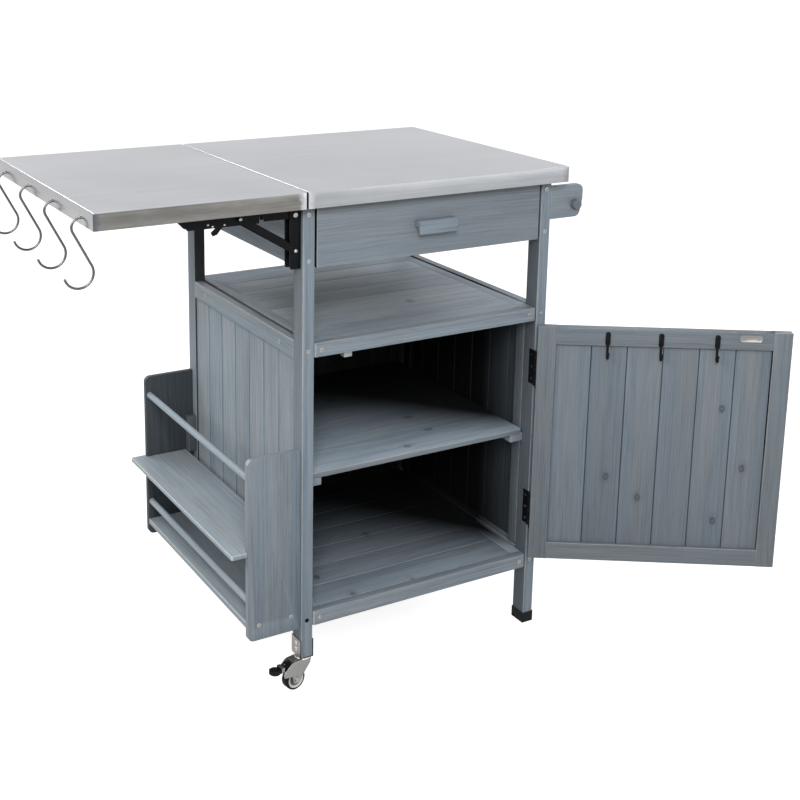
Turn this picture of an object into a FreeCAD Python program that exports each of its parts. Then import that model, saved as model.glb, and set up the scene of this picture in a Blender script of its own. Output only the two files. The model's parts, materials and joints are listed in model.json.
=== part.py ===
import FreeCAD, Part
import Sketcher
import math
import os
import re

# Grill cart with a steel worktop, a folding side leaf, a drawer, a cupboard and a side rack.
# X runs to the right along the front, Y to the back and Z up. Millimetres.

# Driving dimensions
DIMS = {
    # Worktop and leaf
    "top_height": 890,
    "top_length": 520,
    "top_depth": 517,
    "rim_height": 28,
    "sheet": 1.2,
    "rim_round": 3,
    "core_play": 0.4,
    "leaf_length": 350,
    "leaf_gap": 3,
    "leaf_setback": 24,
    # Legs and frame
    "leg_width": 22,
    "leg_depth": 33,
    "leg_left": 3,
    "leg_front": 26,
    "leg_screw_drop": 16,
    "leg_screw_lower_drop": 93,
    "frame_width": 500,
    "frame_depth": 482,
    "wood_edge": 1.2,
    "joint_gap": 0.3,
    "apron_height": 108,
    "apron_thick": 12,
    "apron_inset": 2,
    "upper_shelf_top": 628,
    "rail_height": 24,
    "rail_thick": 16,
    "strip_width": 22,
    "shelf_planks": 7,
    "panel_planks": 7,
    "rail_round": 4,
    "rail_end_gap": 1,
    "rail_screw_inset": 14,
    "side_screw_front": 52,
    "side_screw_back": 48,
    "side_rail_height": 33,
    "shelf_thick": 10,
    "lower_rail_top": 143,
    "lower_rail_height": 26,
    "plank_thick": 8,
    "plank_inset": 3,
    "batten_width": 25,
    "middle_shelf_top": 388,
    "middle_shelf_thick": 9,
    "middle_shelf_front": 48,
    "shelf_side_gap": 4,
    "shelf_back_gap": 2,
    "cleat_width": 28,
    "cleat_height": 15,
    # Drawer
    "drawer_gap": 4,
    "drawer_top_gap": 5,
    "drawer_height": 101,
    "drawer_front_thick": 13,
    "drawer_side_thick": 9,
    "drawer_side_height": 78,
    "drawer_back_room": 62,
    "drawer_box_rise": 12,
    "drawer_bottom_rise": 5,
    "drawer_bottom_thick": 4,
    "drawer_side_offset": 13,
    "groove_depth": 5,
    "groove_height": 13,
    "groove_start": 10,
    "slide_play": 0.5,
    "pull_length": 76,
    "pull_height": 24,
    "pull_reach": 20,
    "pull_lip": 7,
    # Door
    "door_gap": 2,
    "door_hinge_gap": 3,
    "door_thick": 18,
    "door_bottom_gap": 6,
    "door_top_gap": 3,
    "door_frame_width": 33,
    "door_recess": 6,
    "door_plank_thick": 8,
    "door_planks": 6,
    "door_open_angle": 147,
    "pin_forward": 4.5,
    "knuckle_radius": 2.8,
    "hinge_height": 65,
    "hinge_leaf_width": 15,
    "hinge_plate": 1.2,
    "knuckle_gap": 0.3,
    "door_pull_inset": 4,
    "upper_hinge_drop": 86,
    "lower_hinge_rise": 90,
    "door_hook_height": 49,
    "door_hook_width": 6,
    "door_hook_reach": 12.5,
    "door_hook_drop": 6,
    "strike_length": 40,
    "strike_height": 13,
    "strike_drop": 5,
    "strike_share": 0.84,
    "catch_length": 16,
    "catch_depth": 14,
    "catch_height": 13,
    # Towel bar on the right
    "arm_reach": 72,
    "arm_height": 60,
    "arm_thick": 11,
    "arm_drop": 40,
    "arm_round": 12,
    "bar_radius": 9,
    "bar_reach": 54,
    "bar_end": 10,
    "bar_drop": 6,
    # Side rack on the left
    "rack_inset": 5,
    "rack_thick": 10,
    "rack_width": 98,
    "rack_top": 443,
    "rack_height": 328,
    "rack_round": 11,
    "rack_screw_outer": 20,
    "rack_screw_inner": 17,
    "rack_shelf_top": 280,
    "rack_shelf_thick": 8,
    "rack_shelf_reach": 128,
    "rack_shelf_gap": 17,
    "rack_bottom_top": 148,
    "rack_bottom_thick": 11,
    "rack_dowel_radius": 6,
    "rack_dowel_inset": 8,
    "upper_dowel_height": 406,
    "lower_dowel_height": 184,
    "rack_cleat_height": 72,
    # Folding brackets
    "bracket_inset": 7,
    "bracket_width": 19,
    "plate": 1.5,
    "plate_play": 0.3,
    "channel_length": 102,
    "channel_drop": 3,
    "channel_reach": 20,
    "pivot_out": 10,
    "pivot_drop": 43,
    "lower_pivot_drop": 59,
    "arm_length": 197,
    "arm_depth": 8,
    "arm_heel": 4,
    "brace_run": 97,
    "brace_up": 8,
    "brace_down": 6,
    "brace_end": 5,
    "rivet_radius": 3,
    "slot_play": 1,
    "lever_run": 26,
    "lever_drop": 4,
    "lever_thick": 2,
    "lever_size": 22,
    # S-hooks
    "hook_wire": 2,
    "hook_drop": 17,
    "hook_upper_radius": 15,
    "hook_lower_radius": 23,
    "hook_length": 71,
    "hook_shift": 6,
    "hook_tip": 6,
    "hook_end_angle": 15,
    "hook_hole": 3.2,
    "hook_first": 58,
    "hook_pitch": 136,
    # Casters and feet
    "caster_height": 59,
    "wheel_radius": 20,
    "wheel_width": 17,
    "tyre_thick": 4,
    "tyre_edge": 2,
    "hub_dish": 2,
    "caster_trail": 20,
    "caster_front_angle": 190,
    "caster_rear_angle": 20,
    "fork_plate": 1.6,
    "fork_play": 1,
    "fork_heel": 11,
    "fork_arm": 26,
    "axle_radius": 3,
    "axle_end": 1,
    "pedal_run": 10,
    "pedal_rise": 7,
    "pedal_size": 20,
    "saddle_height": 33,
    "saddle_plate": 1.6,
    "race_radius": 12,
    "foot_height": 20,
    "foot_wall": 1.2,
    "foot_base": 3,
    "foot_play": 0.05,
    # Screws
    "screw_radius": 3.5,
    "screw_length": 10,
    "screw_seat": 1.4,
    "screw_play": 0.2,
    "pin_play": 0.1,
}

# Places worked out from the driving dimensions
PLACES = {
    "leg_right": "leg_left + frame_width",
    "leg_back": "leg_front + frame_depth",
    "inner_left": "leg_left + leg_width",
    "inner_right": "leg_right - leg_width",
    "inner_front": "leg_front + leg_depth",
    "inner_back": "leg_back - leg_depth",
    "inner_width": "inner_right - inner_left",
    "inner_depth": "inner_back - inner_front",
    "top_under": "top_height - rim_height",
    "leaf_end": "-leaf_gap - leaf_length",
    "apron_low": "top_under - apron_height",
    "drawer_low": "top_under - drawer_top_gap - drawer_height",
    "drawer_box_low": "drawer_low + drawer_box_rise",
    "drawer_depth": "frame_depth - drawer_back_room",
    "runner_mid": "drawer_box_low + drawer_side_height / 2",
    "rail_low": "upper_shelf_top - rail_height",
    "lower_rail_low": "lower_rail_top - lower_rail_height",
    "panel_low": "lower_rail_low + side_rail_height + joint_gap",
    "panel_high": "upper_shelf_top - side_rail_height - joint_gap",
    "panel_tall": "panel_high - panel_low",
    "batten_thick": "leg_width - plank_inset - plank_thick - joint_gap",
    "shelf_wide": "inner_width - 2 * joint_gap",
    "shelf_deep": "frame_depth - 2 * rail_thick",
    "door_low": "lower_rail_top + door_bottom_gap",
    "door_high": "rail_low - door_top_gap",
    "door_tall": "door_high - door_low",
    "door_wide": "inner_width - door_gap - door_hinge_gap",
    "pin_place_x": "inner_right - door_hinge_gap / 2",
    "pin_place_y": "leg_front - pin_forward",
    "upper_hinge_mid": "door_high - upper_hinge_drop",
    "lower_hinge_mid": "door_low + lower_hinge_rise",
    "pivot_x": "leg_left - pivot_out",
    "pivot_z": "top_height - pivot_drop",
    "arm_top": "top_under - pivot_z",
    "brace_pivot_z": "pivot_z - lower_pivot_drop",
    "brace_length": "sqrt(brace_run^2 + lower_pivot_drop^2)",
    "hook_centre_z": "top_height - hook_drop - hook_hole + hook_wire + joint_gap - hook_upper_radius",
    "leg_mid_x": "leg_left + leg_width / 2",
    "bar_z": "bar_low + arm_height / 2 - bar_drop",
    "bar_low": "top_height - arm_drop - arm_height",
    "rack_front": "leg_front + rack_inset",
    "rack_back": "leg_back - rack_inset",
    "rack_inner": "rack_back - rack_front - 2 * rack_thick",
    # Middle of the whole cart on the floor, found once its pieces stand
    "fork_top": "caster_height - saddle_plate * 2 - joint_gap",
    "fork_half": "wheel_width / 2 + fork_play",
    "pedal_x": "caster_trail + pedal_run",
    "pedal_z": "wheel_radius * 2 + pedal_rise",
    "origin_x": "0",
    "origin_y": "0",
}

doc = FreeCAD.newDocument("GrillCart")
NODES = {}


def formula(text):
    """Puts the sheet's name before each alias of a formula."""
    def named(match):
        word = match.group(0)
        if word in DIMS:
            return "Dims." + word
        if word in PLACES:
            return "Places." + word
        return word
    return re.sub(r"[a-z][a-z_]*", named, str(text))


def make_sheets():
    """Driving dimensions as plain numbers, and the places worked out from them."""
    dims = doc.addObject("Spreadsheet::Sheet", "Dims")
    for row, (alias, number) in enumerate(DIMS.items(), start=1):
        dims.set("A%d" % row, alias)
        dims.set("B%d" % row, str(number))
        dims.setAlias("B%d" % row, alias)
    places = doc.addObject("Spreadsheet::Sheet", "Places")
    for row, alias in enumerate(PLACES, start=1):
        places.setAlias("B%d" % row, alias)
    for row, (alias, text) in enumerate(PLACES.items(), start=1):
        places.set("A%d" % row, alias)
        places.set("B%d" % row, "=" + formula(text))
    doc.addObject("Spreadsheet::Sheet", "Reckoner")
    doc.recompute()


def value(text):
    """The number that a formula of sheet values gives."""
    reckoner = doc.Reckoner
    reckoner.set("A1", "=" + formula(text))
    reckoner.recompute()
    return float(reckoner.get("A1"))


def place(thing, x, y, z, frame="cart"):
    """Binds where a thing stands. The cart's frame has its origin under the middle."""
    shift = (" - origin_x", " - origin_y", "") if frame == "cart" else ("", "", "")
    for axis, text, less in zip("xyz", (x, y, z), shift):
        thing.setExpression("Placement.Base." + axis, formula(str(text) + less))


def new_body(name, x, y, z, frame):
    body = doc.addObject("PartDesign::Body", name)
    body.AllowCompound = True
    place(body, x, y, z, frame)
    return body


def plane_of(body, role):
    return [f for f in body.Origin.OriginFeatures if f.Role == role][0]


def new_sketch(body, role, lift="0"):
    sketch = body.newObject("Sketcher::SketchObject", body.Name + "Sketch")
    sketch.AttachmentSupport = [(plane_of(body, role), "")]
    sketch.MapMode = "FlatFace"
    if str(lift) != "0":
        sketch.setExpression("AttachmentOffset.Base.z", formula(lift))
    return sketch


def draw_outline(sketch, points):
    """Straight closed outline whose corners are bound to formulas."""
    spots = [FreeCAD.Vector(value(u), value(v), 0) for u, v in points]
    count = len(spots)
    first = sketch.GeometryCount
    for i in range(count):
        sketch.addGeometry(Part.LineSegment(spots[i], spots[(i + 1) % count]), False)
    for i in range(count):
        here = first + i
        sketch.addConstraint(Sketcher.Constraint("Coincident", here, 2, first + (i + 1) % count, 1))
    for i, (u, v) in enumerate(points):
        for kind, text, number in (("DistanceX", u, spots[i].x), ("DistanceY", v, spots[i].y)):
            index = sketch.addConstraint(Sketcher.Constraint(kind, -1, 1, first + i, 1, number))
            sketch.setExpression("Constraints[%d]" % index, formula(text))


def draw_circle(sketch, u, v, radius):
    """Circle whose centre and radius are bound to formulas."""
    centre = FreeCAD.Vector(value(u), value(v), 0)
    index = sketch.addGeometry(Part.Circle(centre, FreeCAD.Vector(0, 0, 1), value(radius)), False)
    for kind, text, number in (("DistanceX", u, centre.x), ("DistanceY", v, centre.y)):
        spot = sketch.addConstraint(Sketcher.Constraint(kind, -1, 1, index, 3, number))
        sketch.setExpression("Constraints[%d]" % spot, formula(text))
    size = sketch.addConstraint(Sketcher.Constraint("Radius", index, value(radius)))
    sketch.setExpression("Constraints[%d]" % size, formula(radius))


def shares(size, points):
    """Outline given as shares of one size."""
    return [("%s * %g" % (size, u), "%s * %g" % (size, v)) for u, v in points]


def pad(body, sketch, length, reverse=False):
    feature = body.newObject("PartDesign::Pad", body.Name + "Pad")
    feature.Profile = sketch
    feature.Reversed = reverse
    feature.setExpression("Length", formula(length))
    sketch.Visibility = False
    return feature


def pocket(body, sketch, length, reverse=False):
    doc.recompute()
    before = body.Shape.Volume
    feature = body.newObject("PartDesign::Pocket", body.Name + "Pocket")
    feature.Profile = sketch
    feature.Reversed = reverse
    feature.setExpression("Length", formula(length))
    doc.recompute()
    if body.Shape.Volume > before - 0.01:
        raise RuntimeError("the pocket in %s cuts nothing" % body.Name)
    return feature


ROLES = {"X": ("YZ_Plane", False), "Y": ("XZ_Plane", True), "Z": ("XY_Plane", False)}


def is_line(edge):
    """A seam without a curve counts as no line."""
    try:
        return edge.Curve.TypeId == "Part::GeomLine"
    except TypeError:
        return False


def edges_along(shape, way, keep=None):
    """Names of the straight edges that run along one axis, and that keep() picks."""
    names = []
    for number, edge in enumerate(shape.Edges, start=1):
        if len(edge.Vertexes) < 2 or not is_line(edge):
            continue
        step = edge.Vertexes[1].Point - edge.Vertexes[0].Point
        parts = {"X": abs(step.x), "Y": abs(step.y), "Z": abs(step.z)}
        if parts[way] < 0.99 * step.Length:
            continue
        if keep is None or keep(edge.CenterOfMass):
            names.append("Edge%d" % number)
    return names


def dress(body, kind, base, edges, size):
    """Chamfer or fillet on edges of the body's last feature."""
    feature = body.newObject("PartDesign::" + kind, body.Name + kind)
    feature.Base = (base, edges)
    feature.setExpression("Size" if kind == "Chamfer" else "Radius", formula(size))
    return feature


def prism(name, points, length, along="Z", at=("0", "0", "0"), frame="cart", edge=None):
    """Outline drawn square to one axis and padded along it. Long edges may be eased."""
    role, reverse = ROLES[along]
    body = new_body(name, *at, frame)
    feature = pad(body, draw(body, role, points), length, reverse)
    if edge:
        doc.recompute()
        feature = dress(body, "Chamfer", feature, edges_along(feature.Shape, along), edge)
    return body


def draw(body, role, points):
    sketch = new_sketch(body, role)
    draw_outline(sketch, points)
    return sketch


def board(name, x, y, z, along="X", frame="cart", edge="wood_edge"):
    """Board from three (start, size) pairs, with its long edges eased."""
    sizes = {"X": (y[1], z[1], x[1]), "Y": (x[1], z[1], y[1]), "Z": (x[1], y[1], z[1])}
    wide, high, length = sizes[along]
    points = [("0", "0"), (wide, "0"), (wide, high), ("0", high)]
    return prism(name, points, length, along, (x[0], y[0], z[0]), frame, edge)


def rod(name, radius, length, along, at, frame="cart"):
    role, reverse = ROLES[along]
    body = new_body(name, *at, frame)
    sketch = new_sketch(body, role)
    draw_circle(sketch, "0", "0", radius)
    pad(body, sketch, length, reverse)
    return body


def cut(name, base, tools):
    """The base less the tools."""
    result = doc.addObject("Part::Cut", name)
    result.Base = base
    if len(tools) == 1:
        result.Tool = tools[0]
    else:
        joined = doc.addObject("Part::Compound", name + "Tools")
        joined.Links = tools
        result.Tool = joined
    return result


def fuse(name, parts):
    result = doc.addObject("Part::MultiFuse", name)
    result.Shapes = parts
    result.Refine = True
    return result


def node(name, parts, turn=None):
    """Registers a sub-part. A turned frame gets a compound that carries the turn."""
    if len(parts) == 1 and turn is None:
        thing = parts[0]
    else:
        thing = doc.addObject("Part::Compound", name + "Group")
        thing.Links = parts
        if turn:
            x, y, angle = turn
            thing.Placement.Rotation = FreeCAD.Rotation(FreeCAD.Vector(0, 0, 1), 1)
            place(thing, x, y, "0")
            thing.setExpression("Placement.Rotation.Angle", formula(angle))
    thing.Label = name
    NODES[name] = thing
    return thing


AXES = {"X": FreeCAD.Vector(1, 0, 0), "Y": FreeCAD.Vector(0, 1, 0), "Z": FreeCAD.Vector(0, 0, 1)}
INWARD = {
    "+X": FreeCAD.Rotation(AXES["Y"], 90),
    "-X": FreeCAD.Rotation(AXES["Y"], -90),
    "+Y": FreeCAD.Rotation(AXES["X"], -90),
    "-Y": FreeCAD.Rotation(AXES["X"], 90),
    "+Z": FreeCAD.Rotation(),
    "-Z": FreeCAD.Rotation(AXES["X"], 180),
}
SCREWS = []


def cylinder(name, radius, height, way, at, frame="cart"):
    thing = doc.addObject("Part::Cylinder", name)
    thing.setExpression("Radius", formula(radius))
    thing.setExpression("Height", formula(height))
    thing.Placement.Rotation = INWARD[way]
    place(thing, *at, frame)
    return thing


def screw_seat(name, way, at, frame="cart"):
    """Recess for a screw's head and the hole for its shank, and the screw itself."""
    hole = cylinder(name + "Hole", "screw_radius / 2 + screw_play", "screw_length + screw_play", way, at, frame)
    head = cylinder(name + "Recess", "screw_radius + screw_play", "screw_seat", way, at, frame)
    seat = fuse(name + "Seat", [hole, head])
    shank = cylinder(name + "Shank", "screw_radius / 2", "screw_length", way, at, frame)
    disc = cylinder(name + "Head", "screw_radius", "screw_seat", way, at, frame)
    SCREWS.append(fuse(name, [shank, disc]))
    return seat


def make_legs():
    """Four legs. The left pair stands on casters and the right pair in rubber feet."""
    heights = ("top_under - leg_screw_drop", "top_under - leg_screw_lower_drop", "rail_low + rail_height / 2",
               "lower_rail_low + lower_rail_height / 2")
    for side, x, low in (("left", "leg_left", "caster_height + saddle_plate"),
                         ("right", "inner_right", "foot_base")):
        for end, y, face, way in (("front", "leg_front", "leg_front", "+Y"),
                                  ("rear", "inner_back", "leg_back", "-Y")):
            name = "leg_%s_%s" % (end, side)
            blank = board(name + "_blank", (x, "leg_width"), (y, "leg_depth"),
                          (low, "top_under - (%s)" % low), "Z")
            seats = [screw_seat("%s_screw_%d" % (name, i), way, (x + " + leg_width / 2", face, z))
                     for i, z in enumerate(heights)]
            node(name, [cut(name + "_cut", blank, seats)])


def folded_tray(name, x, length, frame="cart"):
    """Sheet steel top with a rim turned down all round, rounded at every fold."""
    body = new_body(name, x, "0", "top_under", frame)
    rim = [("0", "0"), (length, "0"), (length, "top_depth"), ("0", "top_depth")]
    block = pad(body, draw(body, "XY_Plane", rim), "rim_height")
    doc.recompute()
    high = value("rim_height")
    folds = edges_along(block.Shape, "Z")
    folds += edges_along(block.Shape, "X", lambda spot: spot.z > high / 2)
    folds += edges_along(block.Shape, "Y", lambda spot: spot.z > high / 2)
    dress(body, "Fillet", block, folds, "rim_round")
    near, far_x, far_y = "sheet", length + " - sheet", "top_depth - sheet"
    corner = " + rim_round - sheet"
    less = " - rim_round + sheet"
    hollow = draw(body, "XY_Plane", [(near + corner, near), (far_x + less, near), (far_x, near + corner),
                                     (far_x, far_y + less), (far_x + less, far_y),
                                     (near + corner, far_y), (near, far_y + less), (near, near + corner)])
    pocket(body, hollow, "rim_height - sheet", True)
    return body


def make_worktop():
    """Steel skin over a thick board, fixed on the legs and aprons."""
    node("worktop_skin", [folded_tray("worktop_skin_tray", "0", "top_length")])
    inset = "sheet + core_play"
    node("worktop_core", [board("worktop_core_board", (inset, "top_length - 2 * (%s)" % inset),
                                (inset, "top_depth - 2 * (%s)" % inset),
                                ("top_under", "rim_height - sheet"), "Z", edge="rim_round")])


def hook_spots():
    return ["hook_first + %d * hook_pitch" % i for i in range(4)]


def make_leaf():
    """Folding leaf: the skin has holes for the hooks, and its board stops short of them."""
    tray = folded_tray("leaf_skin_tray", "leaf_end", "leaf_length")
    holes = new_sketch(tray, "YZ_Plane")
    for y in hook_spots():
        draw_circle(holes, y, "rim_height - hook_drop", "hook_hole")
    pocket(tray, holes, "sheet * 2", True)
    node("leaf_skin", [tray])
    inset = "sheet + core_play"
    node("leaf_core", [board("leaf_core_board",
                             ("leaf_end + leaf_setback", "leaf_length - leaf_setback - (%s)" % inset),
                             (inset, "top_depth - 2 * (%s)" % inset),
                             ("top_under", "rim_height - sheet"), "Z", edge="rim_round")])


def make_aprons():
    """Boards between the legs under the top, at the sides and the back."""
    span = ("inner_front + joint_gap", "inner_depth - 2 * joint_gap")
    high = ("apron_low", "apron_height")
    left = board("apron_left", ("leg_left + apron_inset", "apron_thick"), span, high, "Y")
    right = board("apron_right", ("leg_right - apron_inset - apron_thick", "apron_thick"), span, high, "Y")
    back = board("apron_back", ("inner_left + joint_gap", "inner_width - 2 * joint_gap"),
                 ("leg_back - apron_inset - apron_thick", "apron_thick"), high, "X")
    node("aprons", [left, right, back])


def make_runners():
    """Wooden strips on the side aprons that run in the drawer's grooves."""
    reach = "drawer_side_offset + groove_depth - slide_play + leg_width - apron_inset - apron_thick"
    span = ("inner_front + joint_gap", "inner_depth - 2 * joint_gap")
    high = ("runner_mid - groove_height / 2 + slide_play", "groove_height - 2 * slide_play")
    left = board("runner_left", ("leg_left + apron_inset + apron_thick", reach), span, high, "Y")
    right = board("runner_right", ("leg_right - apron_inset - apron_thick - (%s)" % reach, reach),
                  span, high, "Y")
    node("drawer_runners", [left, right])


def rails(name, top, front_height, side_height):
    """Four rails between the legs, the front and back ones with rounded ends."""
    parts = []
    for end, y, inner in (("front", "leg_front", False), ("back", "leg_back - rail_thick", True)):
        x = "inner_left + rail_end_gap"
        body = board("%s_%s" % (name, end), (x, "inner_width - 2 * rail_end_gap"), (y, "rail_thick"),
                     ("%s - %s" % (top, front_height), front_height), "X", edge=None)
        doc.recompute()
        deep = value("rail_thick")
        rounds = edges_along(body.Shape, "Z", lambda s: nearly(s.y - body.Placement.Base.y, deep * inner))
        dress(body, "Fillet", body.Tip, rounds, "rail_round")
        if end == "front":
            seats = [screw_seat("%s_screw_%d" % (name, i), "+Y",
                                (spot, y, "%s - %s / 2" % (top, front_height)))
                     for i, spot in enumerate(("inner_left + rail_screw_inset",
                                               "inner_right - rail_screw_inset"))]
            body = cut(name + "_front_cut", body, seats)
        parts.append(body)
    for side, x, face, way in (("left", "leg_left", "leg_left", "+X"),
                               ("right", "leg_right - rail_thick", "leg_right", "-X")):
        body = board("%s_%s" % (name, side), (x, "rail_thick"),
                     ("inner_front + joint_gap", "inner_depth - 2 * joint_gap"),
                     ("%s - %s" % (top, side_height), side_height), "Y")
        z = "%s - %s / 2" % (top, side_height)
        seats = [screw_seat("%s_%s_screw_%d" % (name, side, i), way, (face, spot, z))
                 for i, spot in enumerate(("inner_front + side_screw_front", "inner_back - side_screw_back"))]
        parts.append(cut("%s_%s_cut" % (name, side), body, seats))
    node(name, parts)


def nearly(one, other):
    return abs(one - other) < 0.01


def shelf(name, top, thick):
    """Planks along X between two strips along Y, set between the front and back rails."""
    parts = []
    start = "leg_front + rail_thick"
    for side, x in (("left", "inner_left + joint_gap"), ("right", "inner_right - joint_gap - strip_width")):
        parts.append(board("%s_strip_%s" % (name, side), (x, "strip_width"), (start, "shelf_deep"),
                           ("%s - %s" % (top, thick), thick), "Y"))
    wide = "shelf_deep / shelf_planks"
    for i in range(int(value("shelf_planks"))):
        parts.append(board("%s_plank_%d" % (name, i),
                           ("inner_left + joint_gap + strip_width", "shelf_wide - 2 * strip_width"),
                           ("%s + %d * %s" % (start, i, wide), wide),
                           ("%s - %s" % (top, thick), thick), "X", edge="wood_edge / 2"))
    node(name, parts)


def make_side_panels():
    """Upright planks between the legs, on battens beside the legs."""
    battens = []
    for side, x, inside in (("left", "leg_left + plank_inset", "leg_left + plank_inset + plank_thick"),
                            ("right", "leg_right - plank_inset - plank_thick", "inner_right + joint_gap")):
        wide = "inner_depth / panel_planks"
        parts = [board("%s_plank_%d" % (side, i), (x, "plank_thick"),
                       ("inner_front + %d * %s" % (i, wide), wide),
                       ("panel_low", "panel_tall"), "Z")
                 for i in range(int(value("panel_planks")))]
        node(side + "_panel", parts)
        for end, y in (("front", "inner_front + joint_gap"),
                       ("back", "inner_back - joint_gap - batten_width")):
            battens.append(board("batten_%s_%s" % (side, end), (inside, "batten_thick"),
                                 (y, "batten_width"), ("panel_low", "panel_tall"), "Z"))
    return battens


def make_back_panel(battens):
    """Upright planks between the rear legs and the back rails."""
    wide = "shelf_wide / panel_planks"
    low, tall = "lower_rail_top + joint_gap", "rail_low - lower_rail_top - 2 * joint_gap"
    back = "leg_back - plank_inset - plank_thick"
    node("back_panel", [board("back_plank_%d" % i,
                              ("inner_left + joint_gap + %d * %s" % (i, wide), wide),
                              (back, "plank_thick"), (low, tall), "Z")
                        for i in range(int(value("panel_planks")))])
    for side, x in (("left", "inner_left + joint_gap"),
                    ("right", "inner_right - joint_gap - batten_width")):
        battens.append(board("batten_back_%s" % side, (x, "batten_width"),
                             (back + " - rail_thick / 2", "rail_thick / 2"), (low, tall), "Z"))
    node("panel_battens", battens)


def make_middle_shelf():
    """Loose shelf on two cleats that are screwed to the battens."""
    deep = "leg_back - plank_inset - plank_thick - rail_thick / 2 - shelf_back_gap - middle_shelf_front"
    x = "inner_left + shelf_side_gap"
    body = board("middle_shelf_board", (x, "inner_width - 2 * shelf_side_gap"),
                 ("middle_shelf_front", deep),
                 ("middle_shelf_top - middle_shelf_thick", "middle_shelf_thick"), "Z", edge="rail_round")
    node("middle_shelf", [body])
    cleats = [board("shelf_cleat_" + side, (x, "cleat_width"), ("middle_shelf_front + shelf_back_gap",
                                                                  deep + " - shelf_back_gap"),
                    ("middle_shelf_top - middle_shelf_thick - cleat_height", "cleat_height"), "Y")
              for side, x in (("left", "inner_left + joint_gap"),
                              ("right", "inner_right - joint_gap - cleat_width"))]
    node("shelf_cleats", cleats)


def make_towel_bar():
    """Two rounded arms on the right legs and a round bar through them."""
    arms = []
    for end, y in (("front", "leg_front"), ("rear", "leg_back - arm_thick")):
        outline = [("0", "0"), ("arm_reach - arm_height * 0.12", "0"), ("arm_reach", "arm_height * 0.55"),
                   ("arm_reach", "arm_height"), ("0", "arm_height")]
        body = prism("handle_arm_" + end, outline, "arm_thick", "Y", ("leg_right", y, "bar_low"))
        doc.recompute()
        reach = value("arm_reach * 0.7")
        corners = edges_along(body.Shape, "Y", lambda s: s.x - body.Placement.Base.x > reach)
        dress(body, "Fillet", body.Tip, corners, "arm_round")
        bore = cylinder("handle_bore_" + end, "bar_radius + 0.1", "arm_thick + 2", "+Y",
                        ("leg_right + bar_reach", y + " - 1", "bar_z"))
        arms.append(cut("handle_arm_%s_cut" % end, body, [bore]))
    node("handle_arms", arms)
    body = rod("handle_bar_rod", "bar_radius", "frame_depth + 2 * bar_end", "Y",
               ("leg_right + bar_reach", "leg_front - bar_end", "bar_z"))
    doc.recompute()
    ends = ["Edge%d" % i for i, e in enumerate(body.Tip.Shape.Edges, start=1)
            if e.Curve.TypeId == "Part::GeomCircle"]
    dress(body, "Fillet", body.Tip, ends, "bar_radius / 6")
    node("handle_bar", [body])


def make_rack():
    """Side rack: end boards with rounded outer corners, two shelves and two guard dowels."""
    left = "leg_left - joint_gap - rack_width"
    low = "rack_top - rack_height"
    ends = []
    for end, y, face, way in (("front", "rack_front", "rack_front", "+Y"),
                              ("rear", "rack_back - rack_thick", "rack_back", "-Y")):
        outline = [("0", "0"), ("rack_width", "0"), ("rack_width", "rack_height"), ("0", "rack_height")]
        body = prism("rack_end_" + end, outline, "rack_thick", "Y", (left, y, low))
        doc.recompute()
        corners = edges_along(body.Shape, "Y",
                              lambda s: s.x - body.Placement.Base.x < value("rack_width") / 2)
        dress(body, "Fillet", body.Tip, corners, "rack_round")
        seats = [screw_seat("rack_%s_screw_%d" % (end, i), way,
                            (left + shift, face, "rack_bottom_top - rack_bottom_thick / 2"))
                 for i, shift in enumerate((" + rack_screw_outer", " + rack_width - rack_screw_inner"))]
        ends.append(cut("rack_end_%s_cut" % end, body, seats))
    node("rack_panels", ends)
    make_rack_shelves(left)
    dowels = [rod("rack_dowel_" + which, "rack_dowel_radius", "rack_inner", "Y",
                  (left + " + rack_dowel_inset", "rack_front + rack_thick", height))
              for which, height in (("upper", "upper_dowel_height"), ("lower", "lower_dowel_height"))]
    node("rack_dowels", dowels)
    cleats = [board("rack_cleat_" + end, ("leg_left - rack_shelf_gap", "rack_shelf_gap"),
                    (y, "rack_shelf_gap"), ("rack_shelf_top", "rack_cleat_height"), "Z")
              for end, y in (("front", "rack_front + rack_thick"),
                             ("rear", "rack_back - rack_thick - rack_shelf_gap"))]
    node("rack_cleats", cleats)


def make_rack_shelves(left):
    outer, inner = "leg_left - rack_shelf_reach", "leg_left - rack_shelf_gap"
    ear = left + " - joint_gap"
    near, far = "rack_front + rack_thick + joint_gap", "rack_back - rack_thick - joint_gap"
    outline = [(outer, "rack_front"), (ear, "rack_front"), (ear, near), (inner, near),
               (inner, far), (ear, far), (ear, "rack_back"), (outer, "rack_back")]
    body = prism("rack_middle_board", outline, "rack_shelf_thick", "Z",
                 ("0", "0", "rack_shelf_top - rack_shelf_thick"))
    doc.recompute()
    reach = value(outer) + 1
    corners = edges_along(body.Tip.Shape, "Z", lambda s: s.x < reach)
    dress(body, "Fillet", body.Tip, corners, "rail_round")
    node("rack_middle_shelf", [body])
    node("rack_bottom_shelf", [board("rack_bottom_board", (left, "rack_width"),
                                     (near, "rack_inner - 2 * joint_gap"),
                                     ("rack_bottom_top - rack_bottom_thick", "rack_bottom_thick"), "Y")])


def bracket_starts():
    """Where the two folding brackets begin along Y."""
    return (("front", "leg_front + bracket_inset"), ("rear", "leg_back - bracket_inset - bracket_width"))


def make_brackets():
    """Folding brackets: a channel on each left leg, an arm under the leaf, a brace and a lever."""
    channels, pins, arms = [], [], []
    for end, y in bracket_starts():
        channels.append(bracket_channel(end, y))
        pins += bracket_pins(end, y)
        arms.append(bracket_arm(end, y))
        node("brace_" + end, [bracket_brace(end, y)])
        node("lever_" + end, [bracket_lever(end, y)])
    node("bracket_channels", channels)
    node("bracket_arms", arms)
    return pins


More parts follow.
